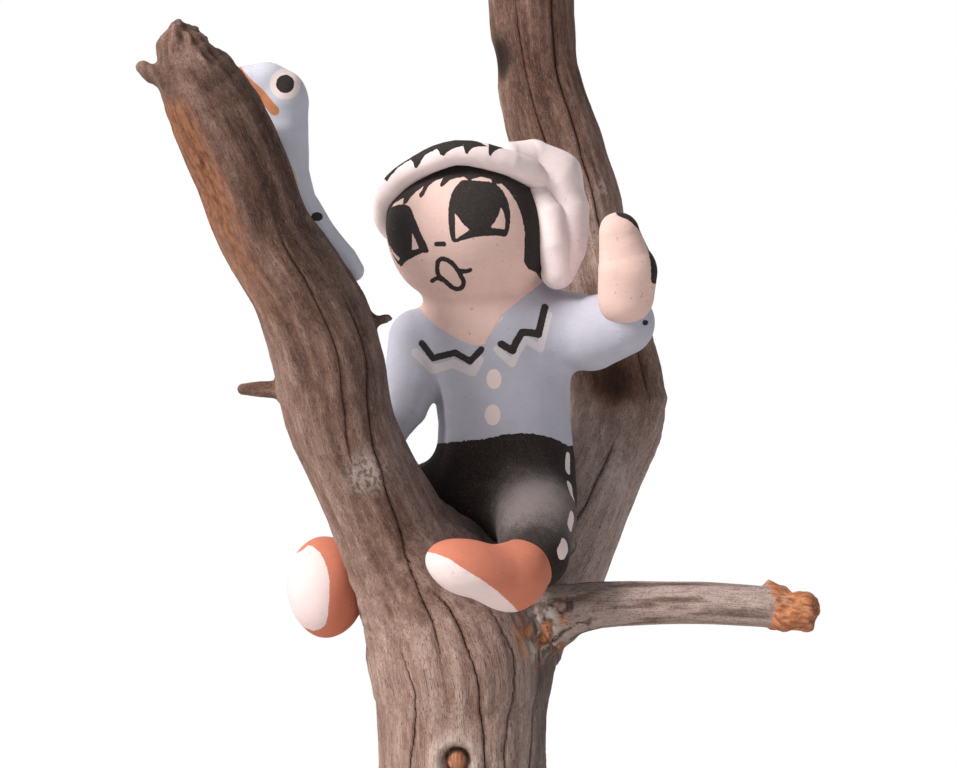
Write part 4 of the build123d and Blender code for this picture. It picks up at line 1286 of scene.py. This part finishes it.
def finish_hardware():
    """Gives the CAD pieces that stay their finishes."""
    steel = plain_finish("zinc_steel", srgb(208, 208, 210), srgb(160, 162, 166), (900, 900, 2600),
                         roughness=0.34, metallic=1.0, depth=0.00002)
    felt = plain_finish("pressed_felt", srgb(74, 92, 74), srgb(30, 42, 32), 3800,
                        roughness=0.96, depth=0.0004)
    beech = plain_finish("beech_dowel", srgb(214, 176, 130), srgb(176, 132, 86), (1500, 1500, 90),
                         roughness=0.6, depth=0.00008)
    glue = plain_finish("cured_glue", srgb(208, 190, 160), srgb(168, 142, 108), 500,
                        roughness=0.4, depth=0.0003)
    finishes = {"base_screw": steel, "base_washer": steel, "base_felt": felt, "locating_dowel": beech,
                "seat_glue": glue, "bird_glue": glue}
    for name, material in finishes.items():
        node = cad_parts[name]
        node.data.materials.clear()
        node.data.materials.append(material)


# ---------------------------------------------------------------- studio

def make_camera():
    camera = bpy.data.cameras.new("camera")
    camera.lens = camera.sensor_width * VIEW_DISTANCE / VIEW_WIDTH
    camera.clip_start, camera.clip_end = 0.01, 10
    placed = bpy.data.objects.new("camera", camera)
    placed.location = (VIEW_CENTRE_X * MM, -VIEW_DISTANCE * MM, VIEW_CENTRE_Z * MM)
    placed.rotation_euler = (math.pi / 2, 0, 0)
    bpy.context.scene.collection.objects.link(placed)
    bpy.context.scene.camera = placed


def soft_light(name, place, size, power, colour=(1, 1, 1)):
    """A round soft box at a place in metres, turned to the middle of the branch."""
    light = bpy.data.lights.new(name, "AREA")
    light.shape, light.size, light.energy, light.color = "DISK", size, power, colour
    placed = bpy.data.objects.new(name, light)
    placed.location = place
    aim = np.array([0.0, 0.0, 0.15]) - place
    flat = math.hypot(aim[0], aim[1])
    placed.rotation_euler = (math.atan2(flat, -aim[2]), 0, math.atan2(aim[1], aim[0]) - math.pi / 2)
    bpy.context.scene.collection.objects.link(placed)


def make_world():
    """White paper behind the object, and a dimmer grey room round the rest."""
    scene = bpy.context.scene
    scene.view_settings.view_transform = "Standard"
    world = bpy.data.worlds.new("studio")
    scene.world = world
    world.use_nodes = True
    tree = world.node_tree
    background = tree.nodes["Background"]
    place = tree.nodes.new("ShaderNodeTexCoord")
    split = tree.nodes.new("ShaderNodeSeparateXYZ")
    ramp = tree.nodes.new("ShaderNodeValToRGB")
    behind = tree.nodes.new("ShaderNodeMapRange")
    behind.interpolation_type = "SMOOTHSTEP"
    behind.inputs["From Min"].default_value = 0.84
    behind.inputs["From Max"].default_value = 0.95
    paper = tree.nodes.new("ShaderNodeMix")
    paper.data_type = "RGBA"
    paper.inputs[7].default_value = (1, 1, 1, 1)
    span = tree.nodes.new("ShaderNodeMapRange")
    span.inputs["From Min"].default_value = -1
    tree.links.new(place.outputs["Generated"], split.inputs[0])
    tree.links.new(split.outputs["Z"], span.inputs["Value"])
    tree.links.new(split.outputs["Y"], behind.inputs["Value"])
    tree.links.new(span.outputs["Result"], ramp.inputs["Fac"])
    tree.links.new(behind.outputs["Result"], paper.inputs[0])
    tree.links.new(ramp.outputs["Color"], paper.inputs[6])
    tree.links.new(paper.outputs[2], background.inputs["Color"])
    stops = ramp.color_ramp.elements
    stops[0].position, stops[0].color = 0.0, (0.62, 0.61, 0.60, 1)
    stops[1].position, stops[1].color = 1.0, (0.26, 0.26, 0.28, 1)
    stops.new(0.5).color = (0.60, 0.60, 0.60, 1)
    stops.new(0.68).color = (0.26, 0.26, 0.27, 1)


def make_lights():
    soft_light("key", (-0.70, -0.48, 0.84), 0.38, 16.2, (1.0, 0.97, 0.95))
    soft_light("fill", (0.10, -0.80, 0.25), 0.6, 0.12)
    soft_light("rim", (0.30, 0.75, 0.60), 0.5, 2.5)


def make_floor():
    """A plain pale floor that turns into white paper behind the object."""
    n = Nodes("floor")
    place = n.add("ShaderNodeTexCoord").outputs["Object"]
    out = n.add("ShaderNodeSeparateXYZ", {0: place}).outputs["Y"]
    mottle = n.noise(n.place(30), detail=3)
    colour = n.mix(mottle, (0.78, 0.77, 0.76, 1), (0.82, 0.81, 0.80, 1))
    matt = n.add("ShaderNodeBsdfPrincipled", {"Base Color": colour, "Roughness": 0.9})
    glow = n.add("ShaderNodeEmission", {"Color": (1, 1, 1, 1), "Strength": 1.0})
    fade = n.ramp(out, 0.24, 0.37)
    both = n.add("ShaderNodeMixShader", {0: fade, 1: matt.outputs[0], 2: glow.outputs[0]})
    n.add("ShaderNodeOutputMaterial", {"Surface": both.outputs[0]})
    bpy.ops.mesh.primitive_circle_add(vertices=128, radius=1.6, fill_type="NGON", location=(0, 0, -0.0002))
    floor = bpy.context.object
    floor.name = "floor"
    floor.data.materials.append(n.material)


make_camera()
make_world()
make_lights()
make_floor()
make_branch()
make_boy()
make_kerchief()
make_shoes()
make_bird()
make_base()
finish_hardware()
